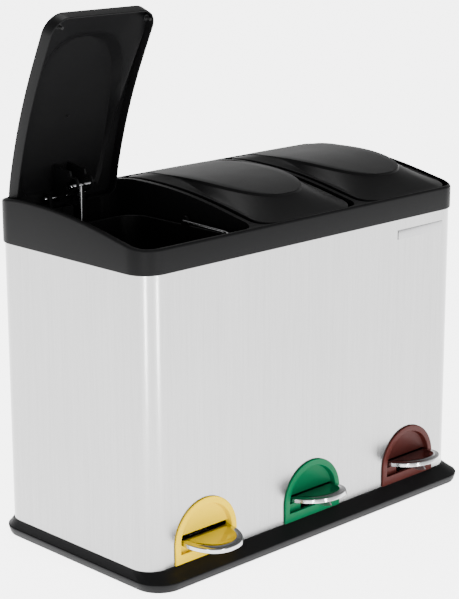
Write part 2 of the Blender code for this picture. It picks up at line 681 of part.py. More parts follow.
def bumper_place(side):
    """Where a rubber bumper sits in a front corner of the lid, x from the lid's middle."""
    corner = LID_HALF_WIDTH - LID_FRONT_CORNER, LID_FRONT_Y + LID_FRONT_CORNER
    reach = 0.0232 * math.sqrt(0.5)
    return side * (corner[0] + reach), corner[1] - reach


def slot_ends():
    """Near and far middles of the lug's slot, about the hinge axis, lid closed."""
    near, far = CRANK_RADIUS - 0.0056, CRANK_RADIUS + 0.0050
    angle = math.radians(43.0)
    return [(-r * math.cos(angle), -r * math.sin(angle)) for r in (near, far)]


def make_slot():
    """Cutter for the slot in which the push rod's cross bar slides."""
    (y0, z0), (y1, z1) = slot_ends()
    heading = math.degrees(math.atan2(z1 - z0, y1 - y0))
    outline = arc((y1, z1), SLOT_HALF_WIDTH, heading - 90, heading + 90, 8)
    outline += arc((y0, z0), SLOT_HALF_WIDTH, heading + 90, heading + 270, 8)
    return extrude(outline, "X", -0.02, 0.02)


def make_lug(x):
    """Web under the lid that carries the hinge hole and the slot."""
    points = arc((0.0, 0.0), 0.0065, 0, 360, 16)
    for centre in slot_ends():
        points += arc(centre, SLOT_HALF_WIDTH + 0.0028, 0, 360, 14)
    points += [(y - HINGE_Y, plateau_height(y) - 0.0012 - HINGE_Z)
               for y in (0.088, 0.098, 0.108, 0.118)]
    order = geometry.convex_hull_2d([Vector(point) for point in points])
    outline = [points[i] for i in order]
    return extrude(outline, "X", x - LUG_HALF_THICKNESS, x + LUG_HALF_THICKNESS)


def build_lid(side, x, is_open, mesh, finish):
    """Lid and its bumpers, turned about the hinge axis."""
    lid = new_object("lid_" + side, mesh.copy(), finish["lid_black"])
    lid.location = (x, HINGE_Y, HINGE_Z)
    lid.rotation_euler.x = -LID_OPENING if is_open else 0.0
    smooth(lid)
    for hand, end in ((-1, "a"), (1, "b")):
        px, py = bumper_place(hand)
        bumper = rod("Z", (px, py - HINGE_Y, 0.4146 - HINGE_Z), 0.0020, 0.0037, 12,
                     "lid_bumper_%s_%s" % (side, end))
        bumper.data.materials.append(finish["rubber"])
        bumper.parent = lid
        smooth(bumper)


# ---- pedal works --------------------------------------------------------------------
def pedal_outline(inset, rear):
    """Half-round plate seen from above, y measured from the pivot."""
    half, depth = PEDAL_HALF_WIDTH - inset, PEDAL_TIP - PEDAL_SHOULDER - inset
    points = [(half, -rear)]
    for i in range(21):
        angle = math.pi * i / 20
        c, s = math.cos(angle), math.sin(angle)
        points.append((math.copysign(half * abs(c) ** (2 / PEDAL_POWER), c),
                       -PEDAL_SHOULDER - depth * s ** (2 / PEDAL_POWER)))
    points.append((-half, -rear))
    return points


def build_pedal(side, x, is_pressed, finish):
    """Lever and pressed plate, about the pivot, plate level in the mesh."""
    tilt = -PEDAL_REST_TILT + (PEDAL_SWING if is_pressed else 0.0)
    arm, drop = ROD_Y - PIVOT_Y, LEVER_DROP
    c, s = math.cos(PEDAL_REST_TILT), math.sin(PEDAL_REST_TILT)
    end_y, end_z = arm * c + drop * s, arm * s - drop * c
    slope = end_z / end_y
    top = PEDAL_TOP - PEDAL_SHEET - GAP
    heel_top = top + PEDAL_WEDGE * (PEDAL_TIP - 0.014)
    toe_top = top + PEDAL_WEDGE * (PEDAL_TIP - 0.050)
    profile = [(-0.050, toe_top), (-0.0525, toe_top - 0.0018), (-0.048, toe_top - 0.0042),
               (-0.020, -0.0030), (-0.004, -0.0075), (0.010, -0.0065),
               (end_y + 0.008, end_z - 0.0085), (end_y + 0.008, end_z + slope * 0.008),
               (0.020, 0.0050), (0.006, 0.0070), (-0.006, heel_top), (-0.014, heel_top)]
    lever = extrude(profile, "X", -LEVER_HALF_THICKNESS, LEVER_HALF_THICKNESS,
                    "pedal_lever_" + side)
    lever.data.materials.append(finish["zinc_steel"])
    join(lever, rod("X", (0.0, 0.0, 0.0), 0.0060, 0.0118, 16))
    cut(lever, rod("X", (0.0, 0.0, 0.0), PIVOT_HOLE_RADIUS, 0.03, 16))
    lever.location = (x, PIVOT_Y, PIVOT_Z)
    lever.rotation_euler.x = tilt
    smooth(lever)

    plate = extrude(pedal_outline(0.0, PEDAL_REAR), "Z", PEDAL_TOP - PEDAL_SKIRT, PEDAL_TOP,
                    "pedal_plate_" + side)
    plate.data.materials.append(finish["polished_steel"])
    cut(plate, extrude(pedal_outline(PEDAL_SHEET, PEDAL_REAR - 0.002), "Z",
                       PEDAL_TOP - PEDAL_SKIRT - 0.002, PEDAL_TOP - PEDAL_SHEET))
    for vert in plate.data.vertices:
        vert.co.z += PEDAL_WEDGE * (vert.co.y + PEDAL_TIP)
    plate.parent = lever
    smooth(plate)


def build_push_rod(side, x, is_raised, finish):
    """Push rod with its cross bar, about the bar's middle with the lid closed."""
    foot = LEVER_END_Z + ROD_FOOT_CLEARANCE - BAR_CLOSED_Z
    rings = ((0.0014, foot), (ROD_RADIUS, foot + 0.0018), (ROD_RADIUS, 0.0))
    loops = [[(radius * math.cos(2 * math.pi * i / 16), radius * math.sin(2 * math.pi * i / 16), z)
              for i in range(16)] for radius, z in rings]
    push_rod = skin("push_rod_" + side, loops, finish["zinc_steel"])
    join(push_rod, rod("X", (0.0, 0.0, 0.0), ROD_RADIUS, CROSS_BAR_HALF_LENGTH, 16))
    push_rod.location = (x, ROD_Y, BAR_CLOSED_Z + (ROD_TRAVEL if is_raised else 0.0))
    smooth(push_rod)


# ---- buckets ------------------------------------------------------------------------
def bucket_loop(inset, z):
    """A loop of the bucket's outline, about its own middle line."""
    return rounded_loop(-BUCKET_HALF_WIDTH + inset, BUCKET_HALF_WIDTH - inset,
                        BUCKET_FRONT_Y + inset, BUCKET_REAR_Y - inset,
                        BUCKET_CORNER - inset, z, 5)


def make_bucket_mesh():
    """Tapered bucket with a rolled rim and two ears for the bail handle."""
    neck = 0.0025
    bucket = skin("bucket", [
        bucket_loop(BUCKET_TAPER, BUCKET_BOTTOM),
        bucket_loop(neck, BUCKET_RIM - 0.0085),
        bucket_loop(0.0, BUCKET_RIM - 0.0085),
        bucket_loop(0.0, BUCKET_RIM),
        bucket_loop(neck + BUCKET_WALL, BUCKET_RIM),
        bucket_loop(BUCKET_TAPER + BUCKET_WALL, BUCKET_BOTTOM + 0.0020),
    ])
    for side in (-1, 1):
        inner, outer = side * 0.0752, side * 0.0784
        head = arc((BAIL_PIVOT_Y, BAIL_PIVOT_Z), 0.0060, 0, 180, 10)
        low = [(BAIL_PIVOT_Y - 0.0085, 0.4120), (BAIL_PIVOT_Y + 0.0085, 0.4120)]
        join(bucket, extrude(low + head, "X", min(inner, outer), max(inner, outer)))
    cut(bucket, rod("X", (0.0, BAIL_PIVOT_Y, BAIL_PIVOT_Z), 0.0025, 0.09, 12))
    mesh = bucket.data
    bpy.data.objects.remove(bucket)
    return mesh


def bail_path():
    """Half of the bail's centre line in x and y, from its peg to the middle of the front."""
    bend, nose = 0.004, 0.026
    path = [(0.0793, 0.0)]
    path += arc((BAIL_HALF_WIDTH + bend, -bend), bend, 90, 180, 4)
    path += arc((BAIL_HALF_WIDTH - nose, -BAIL_REACH + nose), nose, 0, -90, 7)
    return path + [(0.0, -BAIL_REACH)]


def build_bucket(side, x, mesh, finish):
    """Bucket and its wire handle, folded forward on the rim."""
    bucket = new_object("bucket_" + side, mesh.copy(), finish["bucket_black"])
    bucket.location = (x, 0.0, 0.0)
    smooth(bucket)
    half = bail_path()
    outline = half + [(-px, py) for px, py in reversed(half[:-1])]
    drop = BAIL_PIVOT_Z - BUCKET_RIM - BAIL_WIRE - 0.0004
    line = [Vector((px, py, drop * py / BAIL_REACH)) for px, py in outline]
    bail = wire("bail_handle_" + side, line, BAIL_WIRE, finish["polished_steel"])
    bail.location = (0.0, BAIL_PIVOT_Y, BAIL_PIVOT_Z)
    bail.parent = bucket
    smooth(bail)


def build_bin():
    """Build every piece in bin coordinates, then centre the footprint on the origin."""
    for item in list(bpy.data.objects):
        bpy.data.objects.remove(item)
    finish = make_finishes()
    build_base(finish)
    build_platform(finish)
    build_shell(finish)
    build_frame(finish)
    build_badge(finish)
    lid_mesh = make_lid_mesh()
    bucket_mesh = make_bucket_mesh()
    for side, colour, x, is_open in COMPARTMENTS:
        build_bezel(colour, x, finish)
        build_guide(side, x, finish)
        build_hinge_pin(side, x, finish)
        build_bracket(side, x, finish)
        build_screw(side, x, finish)
        build_lid(side, x, is_open, lid_mesh, finish)
        build_pedal(side, x, is_open, finish)
        build_push_rod(side, x, is_open, finish)
        build_bucket(side, x, bucket_mesh, finish)
    for item in bpy.data.objects:
        if item.parent is None:
            item.location.y += FOOTPRINT_SHIFT


build_bin()
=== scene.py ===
"""Looks of a three-compartment pedal recycling bin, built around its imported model.

The fixed cabinet and the moving parts of the three compartments are remade here with
rounded edges, curved lids and fine surface finishes. Positions are in metres, with the
base's middle at y = 0 while a piece is made; placing it moves it into the shared frame.
"""
from __future__ import annotations

import json
import logging
import math
from collections.abc import Callable, Sequence
from dataclasses import dataclass, field
from enum import Enum
from typing import ClassVar

import bmesh
import bpy
from mathutils import Matrix, Vector

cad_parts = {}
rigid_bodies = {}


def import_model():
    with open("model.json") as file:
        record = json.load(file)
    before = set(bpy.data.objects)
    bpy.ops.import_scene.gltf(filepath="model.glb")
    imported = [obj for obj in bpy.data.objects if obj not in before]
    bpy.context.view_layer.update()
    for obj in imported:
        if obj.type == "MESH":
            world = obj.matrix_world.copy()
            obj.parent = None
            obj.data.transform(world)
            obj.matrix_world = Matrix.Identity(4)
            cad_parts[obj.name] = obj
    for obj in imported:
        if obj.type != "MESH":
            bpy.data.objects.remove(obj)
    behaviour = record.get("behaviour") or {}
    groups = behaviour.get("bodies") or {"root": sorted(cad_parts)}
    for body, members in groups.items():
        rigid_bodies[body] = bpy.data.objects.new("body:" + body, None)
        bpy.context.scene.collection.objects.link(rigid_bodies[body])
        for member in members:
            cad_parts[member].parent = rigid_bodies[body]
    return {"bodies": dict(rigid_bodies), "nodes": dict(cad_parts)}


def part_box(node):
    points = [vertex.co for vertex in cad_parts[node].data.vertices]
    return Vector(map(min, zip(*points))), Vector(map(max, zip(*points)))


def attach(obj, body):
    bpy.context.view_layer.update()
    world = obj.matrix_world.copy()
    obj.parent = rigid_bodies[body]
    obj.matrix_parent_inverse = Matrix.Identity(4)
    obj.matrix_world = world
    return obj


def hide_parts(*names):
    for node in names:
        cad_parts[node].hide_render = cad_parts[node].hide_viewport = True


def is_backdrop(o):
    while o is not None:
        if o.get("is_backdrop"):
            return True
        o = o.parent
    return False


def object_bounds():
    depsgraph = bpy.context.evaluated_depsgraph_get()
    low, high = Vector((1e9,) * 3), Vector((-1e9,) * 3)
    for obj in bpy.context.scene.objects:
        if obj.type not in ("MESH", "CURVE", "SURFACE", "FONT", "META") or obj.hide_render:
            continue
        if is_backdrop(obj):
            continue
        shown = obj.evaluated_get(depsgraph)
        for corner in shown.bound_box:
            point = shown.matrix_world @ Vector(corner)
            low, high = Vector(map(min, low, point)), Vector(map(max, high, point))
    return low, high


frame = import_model()
CAD_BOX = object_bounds()

logging.basicConfig(level=logging.INFO, format="%(message)s")
LOG = logging.getLogger("recycling_bin")

Point = tuple[float, float, float]
Flat = tuple[float, float]
Ring = list[Point]
Height = Callable[[float], float]
Piece = bpy.types.Object
Colour = tuple[float, float, float]

BASE_LOW, BASE_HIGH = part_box("base_tray")
SHELL_LOW, SHELL_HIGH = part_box("steel_shell")
FRAME_LOW, FRAME_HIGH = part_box("top_frame")
FOOTPRINT_SHIFT = (BASE_LOW[1] + BASE_HIGH[1]) / 2
LID_OPENING = math.radians(76.0)
PEDAL_SWING = math.radians(12.0)
PEDAL_REST_TILT = math.radians(13.0)
PITCH = 0.195
HINGE_Y, HINGE_Z = 0.128, 0.4455
HINGE_BORE = 0.0029
CUT_FRONT, CUT_REAR = -0.150, -0.118


# ---- modelling by hand ----
def deselect() -> None:
    """Deselect every object."""
    bpy.ops.object.select_all(action="DESELECT")


def focus(piece: Piece) -> None:
    """Make one object the selected and active one."""
    deselect()
    piece.select_set(True)
    bpy.context.view_layer.objects.active = piece


def tidy_mesh(piece: Piece) -> None:
    """Merge doubles, close the ends and turn the faces outwards."""
    focus(piece)
    bpy.ops.object.mode_set(mode="EDIT")
    bpy.ops.mesh.select_all(action="SELECT")
    bpy.ops.mesh.remove_doubles(threshold=0.000002)
    bpy.ops.mesh.dissolve_degenerate(threshold=0.000001)
    bpy.ops.mesh.fill_holes(sides=0)
    bpy.ops.mesh.select_all(action="SELECT")
    bpy.ops.mesh.normals_make_consistent(inside=False)
    bpy.ops.object.mode_set(mode="OBJECT")


def loft(name: str, rings: Sequence[Ring], closed: bool = False) -> Piece:
    """Grow a body ring by ring, extruding an edge loop and reshaping it each time.

    Args:
        name: the piece's name.
        rings: loops with the same number of points; coinciding points are merged.
        closed: join the last ring to the first instead of closing the ends.

    Returns:
        The body, with its faces pointing out.
    """
    deselect()
    rings = list(rings) + ([rings[0]] if closed else [])
    bpy.ops.mesh.primitive_circle_add(vertices=len(rings[0]), radius=1.0, fill_type="NOTHING")
    piece = bpy.context.object
    piece.name = name
    piece.data.name = name
    bpy.ops.object.mode_set(mode="EDIT")
    bpy.ops.mesh.select_all(action="SELECT")
    mesh = bmesh.from_edit_mesh(piece.data)
    current = [vert.index for vert in mesh.verts]
    for vert, point in zip(mesh.verts, rings[0]):
        vert.co = point
    for ring in rings[1:]:
        bpy.ops.mesh.extrude_region_move()
        mesh = bmesh.from_edit_mesh(piece.data)
        mesh.verts.ensure_lookup_table()
        mesh.verts.index_update()
        fresh = []
        for index, point in zip(current, ring):
            old = mesh.verts[index]
            new = next(e.other_vert(old) for e in old.link_edges if e.other_vert(old).select)
            new.co = point
            fresh.append(new.index)
        current = fresh
    bmesh.update_edit_mesh(piece.data)
    bpy.ops.object.mode_set(mode="OBJECT")
    tidy_mesh(piece)
    return piece


def prism(name: str, outline: Sequence[Flat], axis: str, low: float, high: float) -> Piece:
    """Extrude an outline, given in the two other axes in order, along an axis."""
    def lay(level: float) -> Ring:
        """The outline at one level of the axis."""
        place = "XYZ".index(axis)
        return [tuple(list(p[:place]) + [level] + list(p[place:])) for p in outline]
    return loft(name, [lay(low), lay(high)])


def added(name: str) -> Piece:
    """Name the object just added and apply its transform."""
    piece = bpy.context.object
    piece.name = name
    bpy.ops.object.transform_apply(location=True, rotation=True, scale=True)
    return piece


def block(name: str, low: Point, high: Point) -> Piece:
    """Add a cube between two corners."""
    deselect()
    middle = [(a + b) / 2 for a, b in zip(low, high)]
    size = [b - a for a, b in zip(low, high)]
    bpy.ops.mesh.primitive_cube_add(size=1.0, location=middle, scale=size)
    return added(name)


def pin(name: str, centre: Point, axis: str, radius: float, length: float,
        edge: float = 0.0004, segments: int = 32) -> Piece:
    """Add a round pin with softened ends."""
    deselect()
    turn = {"X": (0.0, math.pi / 2, 0.0), "Y": (math.pi / 2, 0.0, 0.0), "Z": (0.0, 0.0, 0.0)}
    bpy.ops.mesh.primitive_cylinder_add(vertices=segments, radius=radius, depth=length,
                                        location=centre, rotation=turn[axis])
    piece = added(name)
    if edge:
        soften(piece, edge, 2)
    return piece


def wire(name: str, line: Sequence[Vector], radius: float, segments: int = 16) -> Piece:
    """Sweep a round section along a line that stays nearly level."""
    rings = []
    for i, point in enumerate(line):
        ahead, behind = line[min(i + 1, len(line) - 1)], line[max(i - 1, 0)]
        heading = (ahead - behind).normalized()
        across = heading.cross(Vector((0.0, 0.0, 1.0))).normalized()
        upward = across.cross(heading)
        turns = [2 * math.pi * k / segments for k in range(segments)]
        rings.append([tuple(point + radius * (math.cos(t) * across + math.sin(t) * upward))
                      for t in turns])
    return loft(name, rings)


def apply_modifier(piece: Piece, kind: str, **settings: object) -> None:
    """Add a modifier, set it and apply it."""
    focus(piece)
    bpy.ops.object.modifier_add(type=kind)
    modifier = piece.modifiers[-1]
    for key, value in settings.items():
        setattr(modifier, key, value)
    bpy.ops.object.modifier_apply(modifier=modifier.name)


def soften(piece: Piece, width: float, segments: int = 2, angle: float = 30.0) -> None:
    """Round the edges sharper than an angle in degrees."""
    apply_modifier(piece, "BEVEL", width=width, segments=segments, limit_method="ANGLE",
                   angle_limit=math.radians(angle), use_clamp_overlap=True)


def carve(piece: Piece, *cutters: Piece) -> Piece:
    """Cut each cutter out of a piece and discard it."""
    return merge_solids(piece, "DIFFERENCE", cutters)


def weld(piece: Piece, *others: Piece) -> Piece:
    """Unite other bodies with a piece."""
    return merge_solids(piece, "UNION", others)


def merge_solids(piece: Piece, operation: str, others: Sequence[Piece]) -> Piece:
    """Run an exact Boolean with each of the other bodies."""
    for other in others:
        apply_modifier(piece, "BOOLEAN", object=other, operation=operation, solver="EXACT")
        bpy.data.objects.remove(other)
    return piece


def join(piece: Piece, *others: Piece) -> Piece:
    """Put other bodies into a piece's object without uniting them."""
    focus(piece)
    for other in others:
        other.select_set(True)
    bpy.ops.object.join()
    return piece


def shade(piece: Piece, angle: float = 30.0) -> None:
    """Shade curved surfaces smooth and keep the edges sharper than an angle."""
    focus(piece)
    bpy.ops.object.shade_smooth_by_angle(angle=math.radians(angle))


def settle(piece: Piece, move: Matrix) -> None:
    """Bake a placement into the mesh, leaving the object at the origin."""
    piece.matrix_world = move
    focus(piece)
    bpy.ops.object.transform_apply(location=True, rotation=True, scale=True)


def copied(pattern: Piece, shift: Point = (0.0, 0.0, 0.0)) -> Piece:
    """Copy a piece, with a mesh of its own, and move the copy."""
    focus(pattern)
    bpy.ops.object.duplicate()
    twin = bpy.context.object
    settle(twin, Matrix.Translation(shift))
    return twin


def row(pattern: Piece, shifts: Sequence[Point]) -> list[Piece]:
    """Copy a piece to each of several places and discard the pattern."""
    copies = [copied(pattern, shift) for shift in shifts]
    bpy.data.objects.remove(pattern)
    return copies


def arc(centre: Flat, radius: float, start: float, end: float, segments: int) -> list[Flat]:
    """Points of an arc from start to end, in degrees."""
    turns = [math.radians(start + (end - start) * i / segments) for i in range(segments + 1)]
    return [(centre[0] + radius * math.cos(t), centre[1] + radius * math.sin(t)) for t in turns]


def level(height: float | Height) -> Height:
    """A height that may be a number or already a function of y."""
    return height if callable(height) else (lambda y: height)


@dataclass(frozen=True)
class Outline:
    """A rounded rectangle seen from above."""

    x0: float
    x1: float
    y0: float
    y1: float
    corner: float
    corner_steps: int = 12
    side_steps: int = 1

    def ring(self, inset: float, height: float | Height) -> Ring:
        """The outline moved inwards, at a height that may depend on y."""
        radius = max(self.corner - inset, 0.0005)
        low_x, high_x = self.x0 + inset + radius, self.x1 - inset - radius
        low_y, high_y = self.y0 + inset + radius, self.y1 - inset - radius
        sides = [low_y + (high_y - low_y) * i / self.side_steps for i in range(1, self.side_steps)]
        points = arc((high_x, low_y), radius, -90, 0, self.corner_steps)
        points += [(high_x + radius, y) for y in sides]
        points += arc((high_x, high_y), radius, 0, 90, self.corner_steps)
        points += arc((low_x, high_y), radius, 90, 180, self.corner_steps)
        points += [(low_x - radius, y) for y in reversed(sides)]
        points += arc((low_x, low_y), radius, 180, 270, self.corner_steps)
        at = level(height)
        return [(x, y, at(y)) for x, y in points]

    def stack(self, *levels: tuple[float, float | Height]) -> list[Ring]:
        """Rings at several insets and heights."""
        return [self.ring(inset, height) for inset, height in levels]

    def spine(self, inset: float, height: float | Height) -> Ring:
        """The outline squeezed onto its middle line, to close a curved face."""
        middle = (self.x0 + self.x1) / 2
        return [(middle, y, z) for _, y, z in self.ring(inset, height)]


def rounding(radius: float, steps: int = 4) -> list[Flat]:
    """Insets and drops that turn a wall into a top face with a round edge."""
    return [(radius * (1 - math.cos(math.pi / 2 * i / steps)),
             radius * (1 - math.sin(math.pi / 2 * i / steps))) for i in range(steps + 1)]


# ---- finishes ----
class Signal:
    """A shader value; arithmetic on it adds the Math nodes."""

    def __init__(self, graph: "Graph", socket: bpy.types.NodeSocket) -> None:
        """Wrap an output socket of a graph."""
        self.graph = graph
        self.socket = socket

    def math(self, operation: str, *values: "Signal | float") -> "Signal":
        """Add a Math node with this value first."""
        return self.graph.node("ShaderNodeMath", {"operation": operation}, 0, self, *values)

    def __add__(self, other: "Signal | float") -> "Signal":
        """Sum."""
        return self.math("ADD", other)

    __radd__ = __add__

    def __mul__(self, other: "Signal | float") -> "Signal":
        """Product."""
        return self.math("MULTIPLY", other)

    __rmul__ = __mul__

    def __sub__(self, other: "Signal | float") -> "Signal":
        """Difference."""
        return self.math("SUBTRACT", other)

    def __rsub__(self, other: float) -> "Signal":
        """A number less this value."""
        return self * -1.0 + other

    def above(self, limit: float, width: float) -> "Signal":
        """0 below a limit, rising to 1 over a width."""
        return ((self - limit) * (1.0 / width)).math("MINIMUM", 1.0).math("MAXIMUM", 0.0)


class Graph:
    """A node tree, with one method for every kind of node."""

    def __init__(self, tree: bpy.types.NodeTree, shader: str) -> None:
        """Take a tree and its main shader, and start from object coordinates."""
        self.tree = tree
        self.shader = tree.nodes[shader]
        self.place = self.node("ShaderNodeTexCoord", {}, "Object")

    @classmethod
    def of_material(cls, name: str) -> tuple["Graph", bpy.types.Material]:
        """Start a material."""
        material = bpy.data.materials.new(name)
        material.use_nodes = True
        return cls(material.node_tree, "Principled BSDF"), material

    def node(self, kind: str, settings: dict[str, object], output: str | int,
             *values: object, **named: object) -> Signal:
        """Add a node.

        Args:
            kind: the node's type.
            settings: attributes set before its sockets are filled.
            output: the output socket to return, by name or place.
            values: socket values or signals, in order.
            named: socket values or signals by name, with _ for a space.

        Returns:
            The chosen output.
        """
        node = self.tree.nodes.new(kind)
        for key, value in settings.items():
            setattr(node, key, value)
        for place, value in enumerate(values):
            self.feed(node.inputs[place], value)
        for key, value in named.items():
            self.feed(node.inputs[key.replace("_", " ")], value)
        return Signal(self, node.outputs[output])

    def feed(self, socket: bpy.types.NodeSocket, value: object) -> None:
        """Link a signal to a socket, or set its value."""
        if isinstance(value, Signal):
            self.tree.links.new(value.socket, socket)
        else:
            socket.default_value = value

    def set(self, **values: object) -> None:
        """Feed the Principled shader's sockets, with _ for a space."""
        for key, value in values.items():
            self.feed(self.shader.inputs[key.replace("_", " ")], value)

    def stretched(self, scale: Point) -> Signal:
        """Object coordinates scaled along each axis."""
        return self.node("ShaderNodeMapping", {}, "Vector", Vector=self.place, Scale=scale)

    def noise(self, scale: float, detail: float = 2.0, at: Signal | None = None) -> Signal:
        """A noise value around one half."""
        return self.node("ShaderNodeTexNoise", {}, 0, Vector=at or self.place, Scale=scale,
                         Detail=detail, Roughness=0.55)

    def tinted(self, share: Signal, colour: Colour, low: float, high: float) -> Signal:
        """A colour that varies between a darker and a lighter shade of itself."""
        mix = self.node("ShaderNodeMix", {"data_type": "RGBA"}, 2, share)
        for place, gain in ((6, low), (7, high)):
            shade = (min(1.0, gain * part) for part in colour)
            self.feed(mix.socket.node.inputs[place], (*shade, 1.0))
        return mix

    def bump(self, height: Signal, strength: float, distance: float) -> Signal:
        """A bumped normal."""
        return self.node("ShaderNodeBump", {}, "Normal", Height=height, Strength=strength,
                         Distance=distance)


@dataclass(frozen=True)
class Plastic:
    """Moulded plastic with a spark-eroded grain and faint flow marks."""

    name: str
    colour: Colour
    roughness: float
    grain: float = 900.0
    depth: float = 0.00012
    shine: float = 0.2

    def make(self) -> bpy.types.Material:
        """Build the material."""
        graph, material = Graph.of_material(self.name)
        cloudy = graph.noise(16.0, 3.0)
        grain = graph.noise(self.grain, 2.0)
        rough = cloudy * 0.08 + grain * 0.06 + (self.roughness - 0.07)
        graph.set(Base_Color=graph.tinted(cloudy, self.colour, 0.90, 1.10), Roughness=rough,
                  Normal=graph.bump(grain, 0.30, self.depth), Specular_IOR_Level=self.shine)
        return material


@dataclass(frozen=True)
class BrushedSteel:
    """Sheet steel brushed up and down, with long and short strokes."""

    name: str
    colour: Colour
    roughness: float

    def make(self) -> bpy.types.Material:
        """Build the material."""
        graph, material = Graph.of_material(self.name)
        fine = graph.noise(1.0, 3.0, graph.stretched((1500.0, 1500.0, 18.0)))
        broad = graph.noise(1.0, 2.0, graph.stretched((190.0, 190.0, 3.0)))
        cloud = graph.noise(5.0, 2.0)
        stroke = fine * 0.65 + broad * 0.35
        rough = stroke * 0.16 + cloud * 0.06 + (self.roughness - 0.11)
        tint = graph.tinted(stroke * 0.8 + cloud * 0.2, self.colour, 0.72, 1.22)
        graph.set(Base_Color=tint, Metallic=1.0, Roughness=rough,
                  Normal=graph.bump(stroke, 0.16, 0.00010))
        return material


@dataclass(frozen=True)
class PlatedSteel:
    """Polished or plated steel with faint rub marks."""

    name: str
    colour: Colour
    roughness: float
    marks: Point = (60.0, 900.0, 900.0)

    def make(self) -> bpy.types.Material:
        """Build the material."""
        graph, material = Graph.of_material(self.name)
        rubs = graph.noise(1.0, 3.0, graph.stretched(self.marks))
        cloud = graph.noise(30.0, 2.0)
        rough = rubs * 0.10 + cloud * 0.08 + (self.roughness - 0.09)
        graph.set(Base_Color=graph.tinted(rubs, self.colour, 0.92, 1.05), Metallic=1.0,
                  Roughness=rough, Normal=graph.bump(rubs, 0.10, 0.00006))
        return material


class Finish(Enum):
    """Every finish on the bin; its value is the finish's recipe."""

    FRAME = Plastic("frame_plastic", (0.0045, 0.0045, 0.0047), 0.46, shine=0.04)
    LID = Plastic("lid_plastic", (0.0040, 0.0040, 0.0042), 0.42, shine=0.06)
    BASE = Plastic("base_plastic", (0.0055, 0.0055, 0.0058), 0.52, shine=0.08)
    BUCKET = Plastic("bucket_plastic", (0.0030, 0.0030, 0.0032), 0.42, shine=0.06)
    INNER = Plastic("inner_plastic", (0.0045, 0.0045, 0.0048), 0.50, shine=0.08)
    RUBBER = Plastic("rubber", (0.006, 0.006, 0.006), 0.80, 500.0, 0.00025)
    SHELL = BrushedSteel("brushed_steel", (0.34, 0.34, 0.34), 0.25)
    CHROME = PlatedSteel("polished_steel", (0.42, 0.42, 0.43), 0.16)
    ZINC = PlatedSteel("zinc_steel", (0.40, 0.40, 0.41), 0.34)
    YELLOW = Plastic("yellow_plastic", (0.70, 0.47, 0.0), 0.50, 700.0, 0.00008, 0.0)
    GREEN = Plastic("green_plastic", (0.0, 0.090, 0.034), 0.42, 700.0, 0.00008, 0.06)
    BROWN = Plastic("brown_plastic", (0.048, 0.010, 0.008), 0.42, 700.0, 0.00008, 0.08)
    BADGE = PlatedSteel("badge_plate", (0.30, 0.30, 0.305), 0.26)

    def material(self) -> bpy.types.Material:
        """The finish's material, made once."""
        found = bpy.data.materials.get(self.value.name + "_look")
        if found is None:
            found = self.value.make()
            found.name = self.value.name + "_look"
        return found


def hand_over(piece: Piece, finish: Finish, body: str, *nodes: str,
              move: Matrix = Matrix(), angle: float = 30.0) -> None:
    """Finish a piece and give it to the frame.

    Args:
        piece: the piece, made in bin coordinates.
        finish: its finish.
        body: the body it moves with.
        nodes: the nodes it stands for.
        move: its placement, before the shift into the shared frame.
        angle: the sharpest turn, in degrees, that is still shaded smooth.
    """
    settle(piece, Matrix.Translation((0.0, FOOTPRINT_SHIFT, 0.0)) @ move)
    shade(piece, angle)
    piece.data.name = piece.name
    piece.data.materials.clear()
    piece.data.materials.append(finish.material())
    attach(piece, body)
    if nodes:
        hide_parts(*nodes)
    LOG.info("%s rides on %s", piece.name, body)


@dataclass(frozen=True)
class Compartment:
    """One compartment: its name, its colour, its middle and whether its lid stands open."""

    side: str
    colour: str
    x: float
    finish: Finish
    is_open: bool = False


COMPARTMENTS = (Compartment("left", "yellow", -PITCH, Finish.YELLOW, True),
                Compartment("middle", "green", 0.0, Finish.GREEN),
                Compartment("right", "brown", PITCH, Finish.BROWN))


class Repeated:
    """A piece that is modelled once and copied into every compartment."""

    stem: ClassVar[str]
    rider: ClassVar[str] = ""
    finish: ClassVar[Finish | None] = Finish.CHROME
    angle: ClassVar[float] = 30.0
    origin: ClassVar[Flat] = (0.0, 0.0)

    def model(self) -> Piece:
        """Shape the piece about its own origin."""
        raise NotImplementedError

    def turn(self, spot: Compartment) -> float:
        """A copy's turn about the X axis."""
        return 0.0

    def stand(self, spot: Compartment) -> Matrix:
        """Where a compartment's copy stands."""
        place = Matrix.Translation((spot.x, *self.origin))
        return place @ Matrix.Rotation(self.turn(spot), 4, "X")

    def furnish(self) -> None:
        """Give each compartment a copy; a piece without a finish takes the colour's."""
        for spot, twin in zip(COMPARTMENTS, row(self.model(), [(0.0, 0.0, 0.0)] * 3)):
            name = self.stem + (spot.side if self.finish else spot.colour)
            body = (self.rider or self.stem) + spot.side
            twin.name = name + "_fine"
            hand_over(twin, self.finish or spot.finish, body if body in frame["bodies"] else "cabinet",
                      name, move=self.stand(spot), angle=self.angle)


# ---- shared curves ----
@dataclass(frozen=True)
class LidLine:
    """Side view of the rim and of a closed lid: heights along y."""

    front_top: float = 0.430
    rise: float = 0.028
    rise_start: float = -0.128
    rise_end: float = 0.090
    ease: float = 0.634
    rear_drop: float = 0.004
    rear_span: float = 0.047
    peak_y: float = 0.0325
    peak_z: float = 0.4652
    front_curve: float = 0.87
    rear_curve: float = 0.69

    def rim(self, y: float) -> float:
        """Height of the frame's rim and of the lid's edge."""
        if y <= self.rise_start:
            return self.front_top
        if y <= self.rise_end:
            along = (y - self.rise_start) / (self.rise_end - self.rise_start)
            return self.front_top + self.rise * (1 - math.cos(math.pi * along ** self.ease)) / 2
        past = (y - self.rise_end) / self.rear_span
        return self.front_top + self.rise - self.rear_drop * min(past, 1.2) ** 2

    def plateau(self, y: float) -> float:
        """Height of the raised tongue."""
        curve = self.front_curve if y < self.peak_y else self.rear_curve
        return self.peak_z - curve * (y - self.peak_y) ** 2


